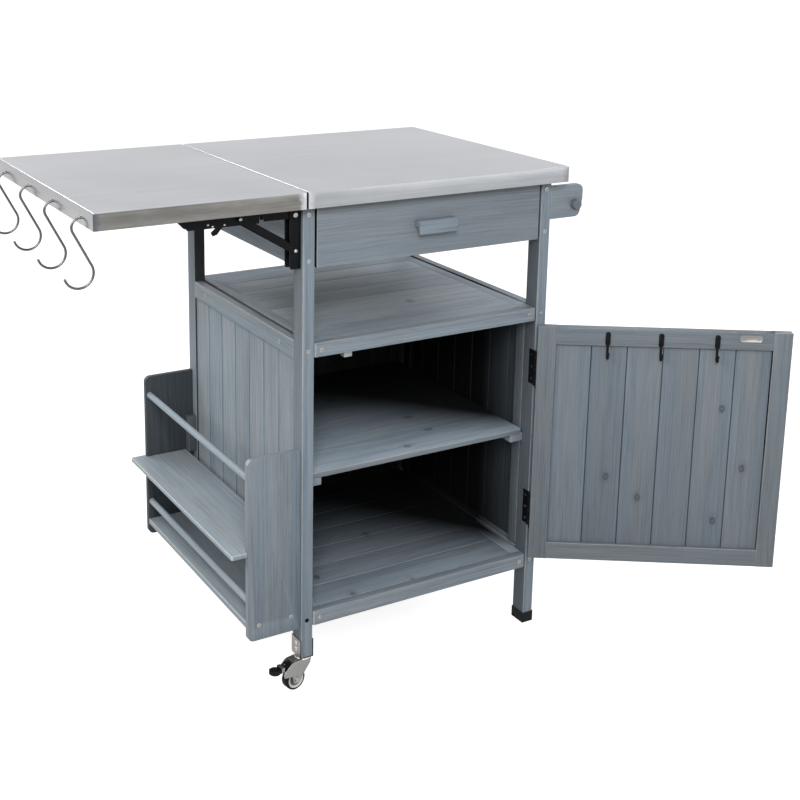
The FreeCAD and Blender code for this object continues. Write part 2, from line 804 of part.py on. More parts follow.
def bracket_channel(end, y):
    back, reach, wide = "0", "-channel_reach", "bracket_width"
    outline = [(back, "0"), (back, wide), (reach, wide), (reach, wide + " - plate"),
               ("-plate", wide + " - plate"), ("-plate", "plate"), (reach, "plate"), (reach, "0")]
    body = prism("channel_%s_blank" % end, outline, "channel_length", "Z",
                 ("leg_left", y, "top_under - channel_drop - channel_length"))
    doc.recompute()
    corners = edges_along(body.Tip.Shape, "Y", lambda s: s.x < -value("channel_reach") / 2)
    dress(body, "Chamfer", body.Tip, corners, "plate * 2")
    bores = [cylinder("channel_%s_bore_%s" % (end, which), "rivet_radius + pin_play", wide + " + 2", "+Y",
                      ("pivot_x", y + " - 1", z))
             for which, z in (("upper", "pivot_z"), ("lower", "brace_pivot_z"))]
    return cut("channel_" + end, body, bores)


def bracket_pins(end, y):
    """Rivets that the arm and the brace turn on, with a flat head outside each web."""
    pins = []
    for which, z in (("upper", "pivot_z"), ("lower", "brace_pivot_z")):
        name = "rivet_%s_%s" % (end, which)
        shank = cylinder(name + "_shank", "rivet_radius", "bracket_width + plate", "+Y",
                         ("pivot_x", y + " - plate / 2", z))
        heads = [cylinder("%s_head_%d" % (name, i), "rivet_radius * 1.4", "plate / 2", "+Y",
                          ("pivot_x", y + shift, z))
                 for i, shift in enumerate((" - plate / 2", " + bracket_width"))]
        pins.append(fuse(name, [shank] + heads))
    return pins


def hollow_below(body, x_low, x_high, width, floor, roof):
    """Opens a bar from below, so that a channel of two webs and a roof is left."""
    sketch = new_sketch(body, "XY_Plane", floor)
    wall = "plate"
    draw_outline(sketch, [(x_low, wall), (x_high, wall), (x_high, "%s - plate" % width),
                          (x_low, "%s - plate" % width)])
    pocket(body, sketch, "(%s) - (%s) - plate" % (roof, floor), True)


def bracket_arm(end, y):
    """Channel under the leaf. A slot in its webs clears the brace's rivet when the leaf hangs."""
    wide = "(bracket_width - 2 * plate - 2 * plate_play)"
    heel = "arm_depth - arm_heel / 2"
    outline = [("-arm_length", "arm_top"), ("-arm_length", "arm_heel"),
               ("arm_heel + arm_depth - arm_length", "-arm_depth"), ("-lower_pivot_drop", "-arm_depth"),
               ("-lower_pivot_drop", "-(%s)" % heel), ("arm_heel", "-(%s)" % heel),
               ("2 * arm_heel", "-arm_heel / 2"), ("2 * arm_heel", "arm_heel"),
               ("arm_heel", "2 * arm_heel"), ("arm_heel", "arm_top")]
    body = prism("arm_%s_blank" % end, outline, wide, "Y",
                 ("pivot_x", y + " + plate + plate_play", "pivot_z"))
    hollow_below(body, "-arm_length - 1", "3 * arm_heel", wide, "-arm_depth - 1", "arm_top")
    bore = cylinder("arm_%s_bore" % end, "rivet_radius + pin_play", wide + " + 2", "+Y",
                    ("pivot_x", y, "pivot_z"))
    pin = cylinder("arm_%s_lever_pin" % end, "rivet_radius * 0.6", "plate + plate_play + lever_thick", "+Y",
                   ("pivot_x - brace_run - lever_run", y + " + plate + plate_play", "pivot_z - lever_drop"))
    slot_x = "pivot_x - lower_pivot_drop"
    slot_top = cylinder("arm_%s_slot_top" % end, "rivet_radius + slot_play", wide + " + 2", "+Y",
                        (slot_x, y, "pivot_z"))
    slot = board("arm_%s_slot" % end, (slot_x + " - rivet_radius - slot_play", "2 * (rivet_radius + slot_play)"),
                 (y, wide + " + 2 * plate + 2"), ("pivot_z - arm_depth - 1", "arm_depth + 1"), "Y", edge=None)
    return fuse("arm_" + end, [cut("arm_%s_cut" % end, body, [bore, slot_top, slot]), pin])


def bracket_brace(end, y):
    inset = "(2 * plate + 3 * plate_play + lever_thick)"
    wide = "(bracket_width - 2 * %s)" % inset
    far = "-brace_length"
    outline = [(far + " - brace_end", "-brace_down / 2"), (far + " - brace_end", "brace_up / 2"),
               (far, "brace_up"), ("-brace_end", "brace_up"), ("brace_end", "brace_up / 2"),
               ("brace_end", "-brace_down / 2"), ("brace_end / 2", "-brace_down"),
               (far + " - brace_end / 2", "-brace_down")]
    body = new_body("brace_%s_blank" % end, "0", "0", "0", "local")
    pad(body, draw(body, "XZ_Plane", outline), wide, True)
    hollow_below(body, far + " - 2 * brace_end", "2 * brace_end", wide, "-brace_down - 1", "brace_up")
    hole = new_sketch(body, "XZ_Plane")
    draw_circle(hole, "0", "0", "rivet_radius + pin_play")
    pocket(body, hole, wide)
    body.Placement.Rotation = FreeCAD.Rotation(AXES["Y"], 1)
    place(body, "pivot_x", "%s + %s" % (y, inset), "brace_pivot_z")
    body.setExpression("Placement.Rotation.Angle", formula("atan(lower_pivot_drop / brace_run)"))
    return body


def bracket_lever(end, y):
    """Release lever beside the arm's front web. Its tail hangs below the arm to be pushed up."""
    outline = shares("lever_size", [(0.27, 0.14), (0.27, -0.05), (-0.14, -0.2), (-0.55, -0.7),
                                    (-0.88, -0.78), (-1.02, -0.52), (-0.52, -0.1), (-0.23, 0.16)])
    body = new_body("lever_%s_plate" % end, "pivot_x - brace_run - lever_run",
                    y + " + 2 * (plate + plate_play)", "pivot_z - lever_drop", "cart")
    pad(body, draw(body, "XZ_Plane", outline), "lever_thick", True)
    hole = new_sketch(body, "XZ_Plane")
    draw_circle(hole, "0", "0", "rivet_radius * 0.6 + pin_play")
    pocket(body, hole, "lever_thick")
    return body


def make_hooks():
    """Bent wire hooks that hang in the holes of the leaf's end rim."""
    for i, y in enumerate(hook_spots(), start=1):
        body = new_body("hook_wire_%d" % i, "leaf_end + sheet / 2", y, "hook_centre_z", "cart")
        path = new_sketch(body, "XZ_Plane")
        draw_hook_path(path)
        ring = new_sketch(body, "YZ_Plane", "hook_tip")
        draw_circle(ring, "0", "hook_upper_radius", "hook_wire")
        pipe = body.newObject("PartDesign::AdditivePipe", "HookPipe%d" % i)
        pipe.Profile = ring
        pipe.Spine = (path, [])
        pipe.Transition = "Right corner"
        node("hook_%d" % i, [body])


def draw_hook_path(sketch):
    """A short straight tip, a small arc, a slanted stem and a wide arc, all tangent."""
    small, wide = value("hook_upper_radius"), value("hook_lower_radius")
    low = FreeCAD.Vector(-value("hook_shift"), -value("hook_length"), 0)
    lean = math.atan2(low.y, low.x) - math.acos((small + wide) / low.Length)
    side = FreeCAD.Vector(math.cos(lean), math.sin(lean), 0)
    up = FreeCAD.Vector(0, 0, 1)
    leave, meet = side * small, low - side * wide
    turn = math.atan2(-side.y, -side.x)
    sketch.addGeometry(Part.LineSegment(FreeCAD.Vector(value("hook_tip"), small, 0),
                                        FreeCAD.Vector(0, small, 0)), False)
    sketch.addGeometry(Part.ArcOfCircle(Part.Circle(FreeCAD.Vector(), up, small),
                                        math.pi / 2, lean % (2 * math.pi)), False)
    sketch.addGeometry(Part.LineSegment(leave, meet), False)
    end = math.radians(value("hook_end_angle"))
    sketch.addGeometry(Part.ArcOfCircle(Part.Circle(low, up, wide), end - math.pi, turn), False)
    for rule in (("Horizontal", 0), ("Tangent", 0, 2, 1, 1), ("Tangent", 1, 2, 2, 1),
                 ("Tangent", 2, 2, 3, 2), ("Coincident", 1, 3, -1, 1)):
        sketch.addConstraint(Sketcher.Constraint(*rule))
    sizes = (("Radius", (1,), "hook_upper_radius", small), ("Radius", (3,), "hook_lower_radius", wide),
             ("DistanceX", (-1, 1, 0, 1), "hook_tip", value("hook_tip")),
             ("DistanceX", (-1, 1, 3, 3), "-hook_shift", low.x),
             ("DistanceY", (-1, 1, 3, 3), "-hook_length", low.y),
             ("DistanceY", (3, 3, 3, 1), "-hook_lower_radius * sin(hook_end_angle)",
              -wide * math.sin(end)))
    for kind, ends, text, number in sizes:
        index = sketch.addConstraint(Sketcher.Constraint(kind, *ends, number))
        sketch.setExpression("Constraints[%d]" % index, formula(text))


def pull_outline():
    """Section of a wooden pull: away from its board (first) and up (second)."""
    return [("0", "pull_height * 0.5"), ("0", "pull_height"), ("pull_reach * 0.8", "pull_height"),
            ("pull_reach", "pull_height * 0.8"), ("pull_reach", "pull_height * 0.12"),
            ("pull_reach * 0.9", "0"), ("pull_reach - pull_lip", "0"),
            ("pull_reach - pull_lip", "pull_height * 0.35"), ("pull_reach * 0.4", "pull_height * 0.5")]


def make_drawer():
    """Drawer box with grooved sides, a front flush with the legs and a wooden pull."""
    front = board("drawer_front_board", ("inner_left + drawer_gap", "inner_width - 2 * drawer_gap"),
                  ("leg_front", "drawer_front_thick"), ("drawer_low", "drawer_height"), "X")
    node("drawer_front", [front])
    start = "leg_front + drawer_front_thick"
    left, right = "inner_left + drawer_side_offset", "inner_right - drawer_side_offset - drawer_side_thick"
    sides = []
    for side, x, groove in (("left", left, left + " - 1"),
                            ("right", right, right + " + drawer_side_thick - groove_depth")):
        blank = board("drawer_side_" + side, (x, "drawer_side_thick"), (start, "drawer_depth"),
                      ("drawer_box_low", "drawer_side_height"), "Y")
        slot = board("drawer_groove_" + side, (groove, "groove_depth + 1"),
                     (start + " + groove_start", "drawer_depth"),
                     ("runner_mid - groove_height / 2", "groove_height"), "Y", edge=None)
        sides.append(cut("drawer_side_%s_cut" % side, blank, [slot]))
    node("drawer_sides", sides)
    within = (left + " + drawer_side_thick",
              "inner_width - 2 * drawer_side_offset - 2 * drawer_side_thick")
    node("drawer_back", [board("drawer_back_board", within,
                               (start + " + drawer_depth - drawer_side_thick", "drawer_side_thick"),
                               ("drawer_box_low", "drawer_side_height"), "X")])
    node("drawer_bottom", [board("drawer_bottom_board", within, (start, "drawer_depth - drawer_side_thick"),
                                 ("drawer_box_low + drawer_bottom_rise", "drawer_bottom_thick"), "X", edge=None)])
    outline = [("-(%s)" % away, up) for away, up in pull_outline()]
    pull = prism("drawer_pull_bar", outline, "pull_length", "X",
                 ("(inner_left + inner_right - pull_length) / 2", "leg_front",
                  "drawer_low + drawer_height / 2 - pull_height / 2"))
    ease_pull(pull, "X")
    node("drawer_pull", [pull])


def ease_pull(body, way):
    """Rounds the pull's nose and finger groove."""
    doc.recompute()
    dress(body, "Fillet", body.Tip, edges_along(body.Shape, way, None)[2:4], "pull_lip / 3")


DOOR_TURN = ("pin_place_x", "pin_place_y", "door_open_angle")


def make_door():
    """Framed plank door, drawn shut about its hinge pin and then swung open."""
    edge = "door_hinge_gap / 2"
    far = "-(%s + door_wide)" % edge
    deep = ("pin_forward", "door_thick")
    tall = ("door_low", "door_tall")
    parts = [board("door_stile_hinge", ("-(%s + door_frame_width)" % edge, "door_frame_width"), deep, tall,
                   "Z", "door"),
             board("door_stile_free", (far, "door_frame_width"), deep, tall, "Z", "door")]
    inner, span = far + " + door_frame_width", "door_wide - 2 * door_frame_width"
    for which, z in (("low", "door_low"), ("high", "door_high - door_frame_width")):
        parts.append(board("door_rail_" + which, (inner, span), deep, (z, "door_frame_width"), "X", "door"))
    node("door_frame", parts, DOOR_TURN)
    wide = "(%s) / door_planks" % span
    planks = [board("door_plank_%d" % i, ("%s + %d * %s" % (inner, i, wide), wide),
                    ("pin_forward + door_thick - door_recess - door_plank_thick", "door_plank_thick"),
                    ("door_low + door_frame_width", "door_tall - 2 * door_frame_width"), "Z", "door")
              for i in range(int(value("door_planks")))]
    node("door_planks", planks, DOOR_TURN)
    make_door_hooks()
    make_hinges()
    outline = [("%s + door_pull_inset + (%s)" % (far, up), "pin_forward - (%s)" % away) for away, up in pull_outline()]
    pull = prism("door_pull_bar", outline, "pull_length", "Z",
                 ("0", "0", "(door_low + door_high - pull_length) / 2"), "door")
    ease_pull(pull, "Z")
    node("door_pull", [pull], DOOR_TURN)


def make_door_hooks():
    """Three flat hooks on the door's inner face, near its top."""
    face = "pin_forward + door_thick"
    nose = "door_hook_reach - plate"
    outline = [("0", "0"), ("plate", "0"), ("plate", "plate - door_hook_height"),
               (nose + " - plate", "plate - door_hook_height"), (nose, "door_hook_reach - door_hook_height"),
               ("door_hook_reach", "door_hook_reach - door_hook_height"),
               (nose, "-door_hook_height"), ("0", "-door_hook_height")]
    hooks = [prism("door_hook_%d" % i, outline, "door_hook_width", "X",
                   ("-door_wide * %s - door_hook_width / 2" % share, face, "door_high - door_hook_drop"),
                   "door")
             for i, share in enumerate((0.28, 0.49, 0.71))]
    node("door_hooks", hooks, DOOR_TURN)


def hinge_leaf(name, side, mid, segments):
    """Hinge leaf beside the pin with its own knuckles. Side is -1 on the door and 1 on the leg."""
    gap = "door_hinge_gap / 2"
    inner = gap + " - hinge_plate"
    x = inner if side > 0 else "-(%s)" % gap
    low = "%s - hinge_height / 2" % mid
    step = "hinge_height / 5"
    parts = [board(name + "_plate", (x, "hinge_plate"), ("knuckle_radius + knuckle_gap", "hinge_leaf_width"),
                   (low, "hinge_height"), "Z", "door", None)]
    for i in segments:
        z = "%s + %d * %s + knuckle_gap / 2" % (low, i, step)
        parts.append(board("%s_tab_%d" % (name, i), (x, "hinge_plate"), ("0", "knuckle_radius + 1"),
                           (z, step + " - knuckle_gap"), "Z", "door", None))
        parts.append(rod("%s_knuckle_%d" % (name, i), "knuckle_radius", step + " - knuckle_gap", "Z",
                         ("0", "0", z), "door"))
    bore = rod(name + "_bore", "knuckle_radius / 2 + pin_play", "hinge_height + 2", "Z",
               ("0", "0", low + " - 1"), "door")
    return cut(name, fuse(name + "_joined", parts), [bore])


def make_hinges():
    """Two butt hinges. The leg's leaves hold the pins and the door's leaves turn on them."""
    on_door, on_leg = [], []
    for which, mid in (("upper", "upper_hinge_mid"), ("lower", "lower_hinge_mid")):
        on_door.append(hinge_leaf(which + "_door_leaf", -1, mid, (1, 3)))
        on_leg.append(hinge_leaf(which + "_leg_leaf", 1, mid, (0, 2, 4)))
        on_leg.append(rod(which + "_hinge_pin", "knuckle_radius / 2", "hinge_height", "Z",
                          ("0", "0", mid + " - hinge_height / 2"), "door"))
    face = "pin_forward + door_thick"
    strike = board("strike_blank", ("-door_wide * strike_share - strike_length / 2", "strike_length"),
                   (face, "plate"), ("door_high - strike_drop - strike_height", "strike_height"), "X",
                   "door", None)
    node("strike_plate", [strike], DOOR_TURN)
    node("door_hinge_leaves", on_door, DOOR_TURN)
    node("leg_hinge_leaves", on_leg, ("pin_place_x", "pin_place_y", "0"))


def make_catch():
    """Magnetic catch under the upper shelf, just behind the shut door."""
    low = "door_high - catch_height"
    node("door_catch", [board("catch_block",
                              ("pin_place_x - door_wide * strike_share - catch_length / 2", "catch_length"),
                              ("pin_place_y + pin_forward + door_thick + plate + joint_gap", "catch_depth"),
                              (low, "upper_shelf_top - shelf_thick - (%s)" % low), "Z")])


def make_feet():
    """Rubber cups under the right legs."""
    feet = []
    for end, y in (("front", "leg_front"), ("rear", "inner_back")):
        body = new_body("foot_" + end, "inner_right - foot_wall", y + " - foot_wall", "0", "cart")
        wide, deep = "leg_width + 2 * foot_wall", "leg_depth + 2 * foot_wall"
        block = pad(body, draw(body, "XY_Plane", [("0", "0"), (wide, "0"), (wide, deep), ("0", deep)]),
                    "foot_height")
        doc.recompute()
        dress(body, "Fillet", block, edges_along(block.Shape, "Z"), "foot_wall")
        inner = new_sketch(body, "XY_Plane", "foot_base")
        near, far_x, far_y = "foot_wall - foot_play", wide + " - foot_wall + foot_play", deep + " - foot_wall + foot_play"
        draw_outline(inner, [(near, near), (far_x, near), (far_x, far_y), (near, far_y)])
        pocket(body, inner, "foot_height", True)
        feet.append(body)
    node("rubber_feet", feet)


def make_casters():
    """Braked swivel casters in steel saddles under the left legs."""
    saddles = []
    for end, y in (("front", "leg_front"), ("rear", "inner_back")):
        mid = y + " + leg_depth / 2"
        saddles.append(caster_saddle(end, y, mid))
        turn = ("leg_mid_x", mid, "caster_%s_angle" % end)
        make_fork(end, turn)
        make_wheel(end, turn)
        make_pedal(end, turn)
    node("caster_saddles", saddles)


def caster_saddle(end, y, mid):
    """Steel strap bent round the leg's foot, with the swivel race under it."""
    wall, high = "saddle_plate", "saddle_height"
    outer, inner = "leg_width + 2 * saddle_plate", "leg_width + saddle_plate"
    outline = [("0", "0"), (outer, "0"), (outer, high), (inner, high), (inner, wall), (wall, wall),
               (wall, high), ("0", high)]
    strap = prism("saddle_%s_strap" % end, outline, "leg_depth", "Y", ("leg_left - saddle_plate", y,
                                                                      "caster_height"))
    race = cylinder("saddle_%s_race" % end, "race_radius", "saddle_plate * 2", "+Z",
                    ("leg_mid_x", mid, "caster_height - saddle_plate * 2"))
    return fuse("saddle_" + end, [strap, race])


def make_fork(end, turn):
    """Fork with two cheeks that reach out to the brake, the axle and the brake's pin."""
    low = "wheel_radius - 2 * axle_radius"
    cheek = [("-fork_heel", "fork_top"), ("2 - fork_heel", "fork_top - fork_heel"),
             ("caster_trail - fork_heel", "wheel_radius + axle_radius"),
             ("caster_trail - 2 * axle_radius", low), ("caster_trail + 2 * axle_radius", low),
             ("caster_trail + 3 * axle_radius", "wheel_radius + 3 * axle_radius"),
             ("caster_trail + fork_arm", "wheel_radius + 4 * axle_radius"),
             ("caster_trail + fork_arm + fork_plate", "wheel_radius + fork_arm - 2 * axle_radius"),
             ("caster_trail + fork_heel", "fork_top - fork_plate"), ("caster_trail + 2 * axle_radius", "fork_top")]
    parts = []
    for i, y in enumerate(("fork_half", "-fork_half - fork_plate")):
        plate = prism("fork_%s_cheek_%d" % (end, i), cheek, "fork_plate", "Y", ("0", y, "0"), "caster")
        doc.recompute()
        middle = value("wheel_radius * 1.5")
        toe = edges_along(plate.Tip.Shape, "Y", lambda s: s.z < middle)
        dress(plate, "Fillet", plate.Tip, toe, "axle_radius * 0.8")
        parts.append(plate)
    half = "fork_half + fork_plate"
    parts.append(board("fork_%s_crown" % end, ("-fork_heel", "caster_trail + fork_heel + 2 * axle_radius"),
                       ("-(%s)" % half, "2 * (%s)" % half), ("fork_top - fork_plate", "fork_plate"),
                       "X", "caster", None))
    for which, radius, x, z in (("axle", "axle_radius", "caster_trail", "wheel_radius"),
                                ("pin", "axle_radius / 2", "pedal_x", "pedal_z")):
        parts.append(rod("fork_%s_%s" % (end, which), radius, "2 * (%s + axle_end)" % half, "Y",
                         (x, "-(%s) - axle_end" % half, z), "caster"))
    node("caster_fork_" + end, [fuse("fork_" + end, parts)], turn)


def make_wheel(end, turn):
    """Dished hub on the axle with a rubber tyre round it."""
    half, inner = "wheel_width / 2", "wheel_radius - tyre_thick"
    bore, boss = "axle_radius + pin_play", "axle_radius * 2"
    rim = inner + " - hub_dish"
    side = [(bore, half), (boss, half), (boss, half + " - hub_dish"), (rim, half + " - hub_dish"),
            (inner, half + " - hub_dish / 4")]
    hub = revolve("hub_" + end, [(away, "-(%s)" % along) for away, along in side] + side[::-1])
    node("caster_wheel_" + end, [hub], turn)
    side = [(inner, half), ("wheel_radius - tyre_edge", half), ("wheel_radius", half + " - tyre_edge")]
    tyre = revolve("tyre_%s_ring" % end, [(away, "-(%s)" % along) for away, along in side] + side[::-1])
    node("caster_tyre_" + end, [tyre], turn)


def revolve(name, outline):
    """Wheel piece turned about the axle. Outline: distance from the axle, and along it."""
    body = new_body(name, "caster_trail", "0", "wheel_radius", "caster")
    sketch = draw(body, "YZ_Plane", [(along, away) for away, along in outline])
    turned = body.newObject("PartDesign::Revolution", name + "Turned")
    turned.Profile = sketch
    turned.ReferenceAxis = (sketch, ["H_Axis"])
    turned.Angle = 360
    return body


def make_pedal(end, turn):
    """Brake pedal between the cheeks, with a rounded toe that hangs low."""
    outline = shares("pedal_size", [(-0.25, -0.15), (-0.25, 0.2), (0.5, 0.25), (1.2, 0.05), (1.85, -0.15),
                                    (2, -0.4), (1.75, -0.65), (1.3, -0.6), (1, -0.3), (0.3, -0.15)])
    body = new_body("pedal_%s_block" % end, "pedal_x", "-wheel_width / 2", "pedal_z", "caster")
    pad(body, draw(body, "XZ_Plane", outline), "wheel_width", True)
    doc.recompute()
    toe = edges_along(body.Shape, "Y", lambda s: s.x > value("pedal_x + pedal_size"))
    dress(body, "Fillet", body.Tip, toe, "pedal_size * 0.08")
    hole = new_sketch(body, "XZ_Plane")
    draw_circle(hole, "0", "0", "axle_radius / 2 + pin_play")
    pocket(body, hole, "wheel_width")
    node("caster_pedal_" + end, [body], turn)


def centre_origin():
    """Moves the frame's origin to the floor under the middle of the whole cart."""
    doc.recompute()
    box = FreeCAD.BoundBox()
    for thing in NODES.values():
        box.add(thing.Shape.optimalBoundingBox(False))
    rows = {alias: row for row, alias in enumerate(PLACES, start=1)}
    for alias, middle in (("origin_x", box.Center.x), ("origin_y", box.Center.y)):
        doc.Places.set("B%d" % rows[alias], str(round(middle, 4)))
    doc.recompute()


def check_and_write():
    """Every object has to be sound before any file is written."""
    for thing in doc.Objects:
        if "Invalid" in thing.State or "Error" in thing.State:
            raise RuntimeError("%s did not compute" % thing.Name)
    for name, thing in NODES.items():
        if thing.Shape.isNull() or not thing.Shape.isValid():
            raise RuntimeError("%s has no sound shape" % name)
    os.makedirs("parts", exist_ok=True)
    for name, thing in NODES.items():
        thing.Shape.exportStep("parts/%s.step" % name)
    print(len(NODES), "sub-parts")


def main():
    make_sheets()
    make_legs()
    make_worktop()
    make_leaf()
    make_aprons()
    make_runners()
    rails("upper_rails", "upper_shelf_top", "rail_height", "side_rail_height")
    shelf("upper_shelf", "upper_shelf_top", "shelf_thick")
    rails("lower_rails", "lower_rail_top", "lower_rail_height", "lower_rail_height")
    shelf("bottom_shelf", "lower_rail_top", "shelf_thick")
    make_back_panel(make_side_panels())
    make_middle_shelf()
    make_towel_bar()
    make_rack()
    pins = make_brackets()
    make_hooks()
    make_drawer()
    make_door()
    make_catch()
    make_feet()
    make_casters()
    node("frame_fasteners", SCREWS + pins)
    centre_origin()
    check_and_write()


main()
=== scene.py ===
"""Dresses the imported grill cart: stained fir, brushed steel, black brackets, screws and casters."""

import json
import math

import bmesh
import bpy
from mathutils import Matrix, Vector


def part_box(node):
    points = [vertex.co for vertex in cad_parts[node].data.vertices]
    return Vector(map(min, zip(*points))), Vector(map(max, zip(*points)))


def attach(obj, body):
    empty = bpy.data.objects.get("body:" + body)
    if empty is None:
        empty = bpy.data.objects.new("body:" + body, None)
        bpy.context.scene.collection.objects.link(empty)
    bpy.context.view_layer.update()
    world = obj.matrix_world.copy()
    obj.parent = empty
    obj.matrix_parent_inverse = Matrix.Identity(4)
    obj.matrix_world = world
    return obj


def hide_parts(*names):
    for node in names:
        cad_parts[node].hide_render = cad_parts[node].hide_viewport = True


bl_info = {
    "name": "Grill Cart",
    "version": (1, 0, 0),
    "blender": (4, 5, 0),
    "location": "View3D > Sidebar > Grill Cart",
    "description": "Finishes a grill cart around its construction frame",
    "category": "Object",
}

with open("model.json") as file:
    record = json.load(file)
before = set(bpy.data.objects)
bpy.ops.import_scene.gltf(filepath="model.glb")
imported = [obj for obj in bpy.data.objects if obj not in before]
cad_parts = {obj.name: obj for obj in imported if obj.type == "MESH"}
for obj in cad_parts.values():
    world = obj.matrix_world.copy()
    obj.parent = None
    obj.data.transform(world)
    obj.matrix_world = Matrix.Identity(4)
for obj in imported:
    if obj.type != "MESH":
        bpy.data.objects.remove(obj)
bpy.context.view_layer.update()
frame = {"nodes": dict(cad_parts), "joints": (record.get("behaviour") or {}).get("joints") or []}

NODES = frame["nodes"]
JOINTS = {joint["name"]: joint for joint in frame["joints"]}


# Sizes and colours that a user would change


class GrillCartSettings(bpy.types.PropertyGroup):
    """Finishes and small sizes of the cart."""

    stain: bpy.props.FloatVectorProperty(
        name="Stain", description="Colour of the stained boards", subtype="COLOR",
        size=3, min=0, max=1, default=(0.243, 0.301, 0.360))
    grain: bpy.props.FloatVectorProperty(
        name="Grain", description="Colour of the dark grain lines", subtype="COLOR",
        size=3, min=0, max=1, default=(0.102, 0.132, 0.165))
    bare: bpy.props.FloatVectorProperty(
        name="Bare wood", description="Colour where the stain is thin", subtype="COLOR",
        size=3, min=0, max=1, default=(0.300, 0.308, 0.308))
    knot: bpy.props.FloatVectorProperty(
        name="Knot", description="Colour of the knots", subtype="COLOR",
        size=3, min=0, max=1, default=(0.058, 0.076, 0.097))
    steel: bpy.props.FloatVectorProperty(
        name="Steel", description="Colour of the brushed sheet", subtype="COLOR",
        size=3, min=0, max=1, default=(0.40, 0.408, 0.435))
    black: bpy.props.FloatVectorProperty(
        name="Black coat", description="Colour of the coated brackets and hinges", subtype="COLOR",
        size=3, min=0, max=1, default=(0.0035, 0.004, 0.0055))
    zinc: bpy.props.FloatVectorProperty(
        name="Zinc", description="Colour of screws, rivets and caster forks", subtype="COLOR",
        size=3, min=0, max=1, default=(0.44, 0.44, 0.43))
    fold_radius: bpy.props.FloatProperty(
        name="Fold radius", description="Radius of the trays' folded edges", unit="LENGTH",
        min=0.001, max=0.006, default=0.0017)
    sheet: bpy.props.FloatProperty(
        name="Sheet", description="Thickness of the steel sheet", unit="LENGTH",
        min=0.0005, max=0.002, default=0.0012)
    grain_depth: bpy.props.FloatProperty(
        name="Grain depth", description="Height of the raised grain", unit="LENGTH",
        min=0, max=0.001, default=0.00025)
    screw_radius: bpy.props.FloatProperty(
        name="Screw radius", description="Radius of the screws' heads", unit="LENGTH",
        min=0.002, max=0.005, default=0.0037)


def settings():
    return bpy.context.scene.grill_cart


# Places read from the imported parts. The worktop's front left corner is where they are counted from.


def shift(x, y, z):
    return Matrix.Translation((x, y, z))


def box(name):
    """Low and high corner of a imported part."""
    return [Vector(point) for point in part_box(name)]


CORNER = box("worktop_skin")[0]
CORNER.z = 0
PIN = Vector(JOINTS["door_swing"]["pos_m"])
PIN.z = 0
DOOR_ANGLE = math.radians(147)
DOOR = Matrix.Translation(PIN) @ Matrix.Rotation(DOOR_ANGLE, 4, "Z")
CASTERS = {end: shift(*JOINTS["caster_swivel_" + end]["pos_m"][:2], 0)
           @ Matrix.Rotation(math.radians(angle), 4, "Z") for end, angle in (("front", 190), ("rear", 20))}
BACKWARDS = Matrix.Rotation(-math.pi / 2, 4, "X")

# Roundings of the eased edges, from thick boards to thin sheet
THICK_EDGE = 0.0014
FRAME_EDGE = 0.0012
BOARD_EDGE = 0.0008
PLANK_EDGE = 0.0006
SHELF_EDGE = 0.0005
STEEL_EDGE = 0.0004
SMALL_EDGE = 0.0003
THIN_EDGE = 0.0002


def at(x, y, z):
    """Point given in millimetres from the worktop's front left corner, at floor level."""
    return CORNER + Vector((x, y, z)) / 1000


# Modelling helpers


def deselect():
    if bpy.context.object and bpy.context.object.mode != "OBJECT":
        bpy.ops.object.mode_set(mode="OBJECT")
    bpy.ops.object.select_all(action="DESELECT")


def activate(piece):
    deselect()
    piece.select_set(True)
    bpy.context.view_layer.objects.active = piece


def freeze(piece):
    """Puts a piece's place into its mesh."""
    activate(piece)
    bpy.ops.object.transform_apply(location=True, rotation=True, scale=True)
    return piece


def new_piece(name, add, scale=(1, 1, 1), **options):
    """Piece from one of Blender's basic shapes, with its place in its mesh."""
    deselect()
    add(**options)
    piece = bpy.context.object
    piece.name = name
    piece.scale = scale
    return freeze(piece)


def block(name, low, high):
    """Cube between two corners."""
    low, high = Vector(low), Vector(high)
    return new_piece(name, bpy.ops.mesh.primitive_cube_add, high - low, size=1, location=(low + high) / 2)


def round_bar(name, radius, length, middle, way="Z", sides=32):
    """Cylinder along one axis."""
    turns = {"X": (0, math.pi / 2, 0), "Y": (math.pi / 2, 0, 0), "Z": (0, 0, 0)}
    return new_piece(name, bpy.ops.mesh.primitive_cylinder_add, vertices=sides, radius=radius, depth=length,
                     location=middle, rotation=turns[way])


def round_ball(name, radius, middle, sides):
    """Ball with its poles along Z."""
    return new_piece(name, bpy.ops.mesh.primitive_uv_sphere_add, segments=sides, ring_count=12, radius=radius,
                     location=middle)


def edit(piece):
    activate(piece)
    bpy.ops.object.mode_set(mode="EDIT")
    bpy.ops.mesh.select_all(action="DESELECT")


def leave_edit():
    bpy.ops.object.mode_set(mode="OBJECT")


def pick(piece, kind, parts, test):
    """Selects the faces or edges that pass a test, in edit mode."""
    mesh = bmesh.from_edit_mesh(piece.data)
    bpy.ops.mesh.select_mode(type=kind)
    bpy.ops.mesh.select_all(action="DESELECT")
    for item in getattr(mesh, parts):
        if test(item):
            item.select_set(True)
    mesh.select_flush(kind == "FACE")
    bmesh.update_edit_mesh(piece.data)


def pick_faces(piece, test):
    """Selects the faces whose middle and normal pass a test, in edit mode."""
    pick(piece, "FACE", "faces", lambda face: test(face.calc_center_median(), face.normal))


def pick_edges(piece, test):
    """Selects the edges whose middle and direction pass a test, in edit mode."""
    def passes(edge):
        first, second = (vert.co for vert in edge.verts)
        return test((first + second) / 2, (second - first).normalized())
    pick(piece, "EDGE", "edges", passes)


def modify(piece, kind, **options):
    """Applies one modifier."""
    activate(piece)
    modifier = piece.modifiers.new(kind, kind)
    for name, value in options.items():
        setattr(modifier, name, value)
    bpy.ops.object.modifier_apply(modifier=modifier.name)
    return piece


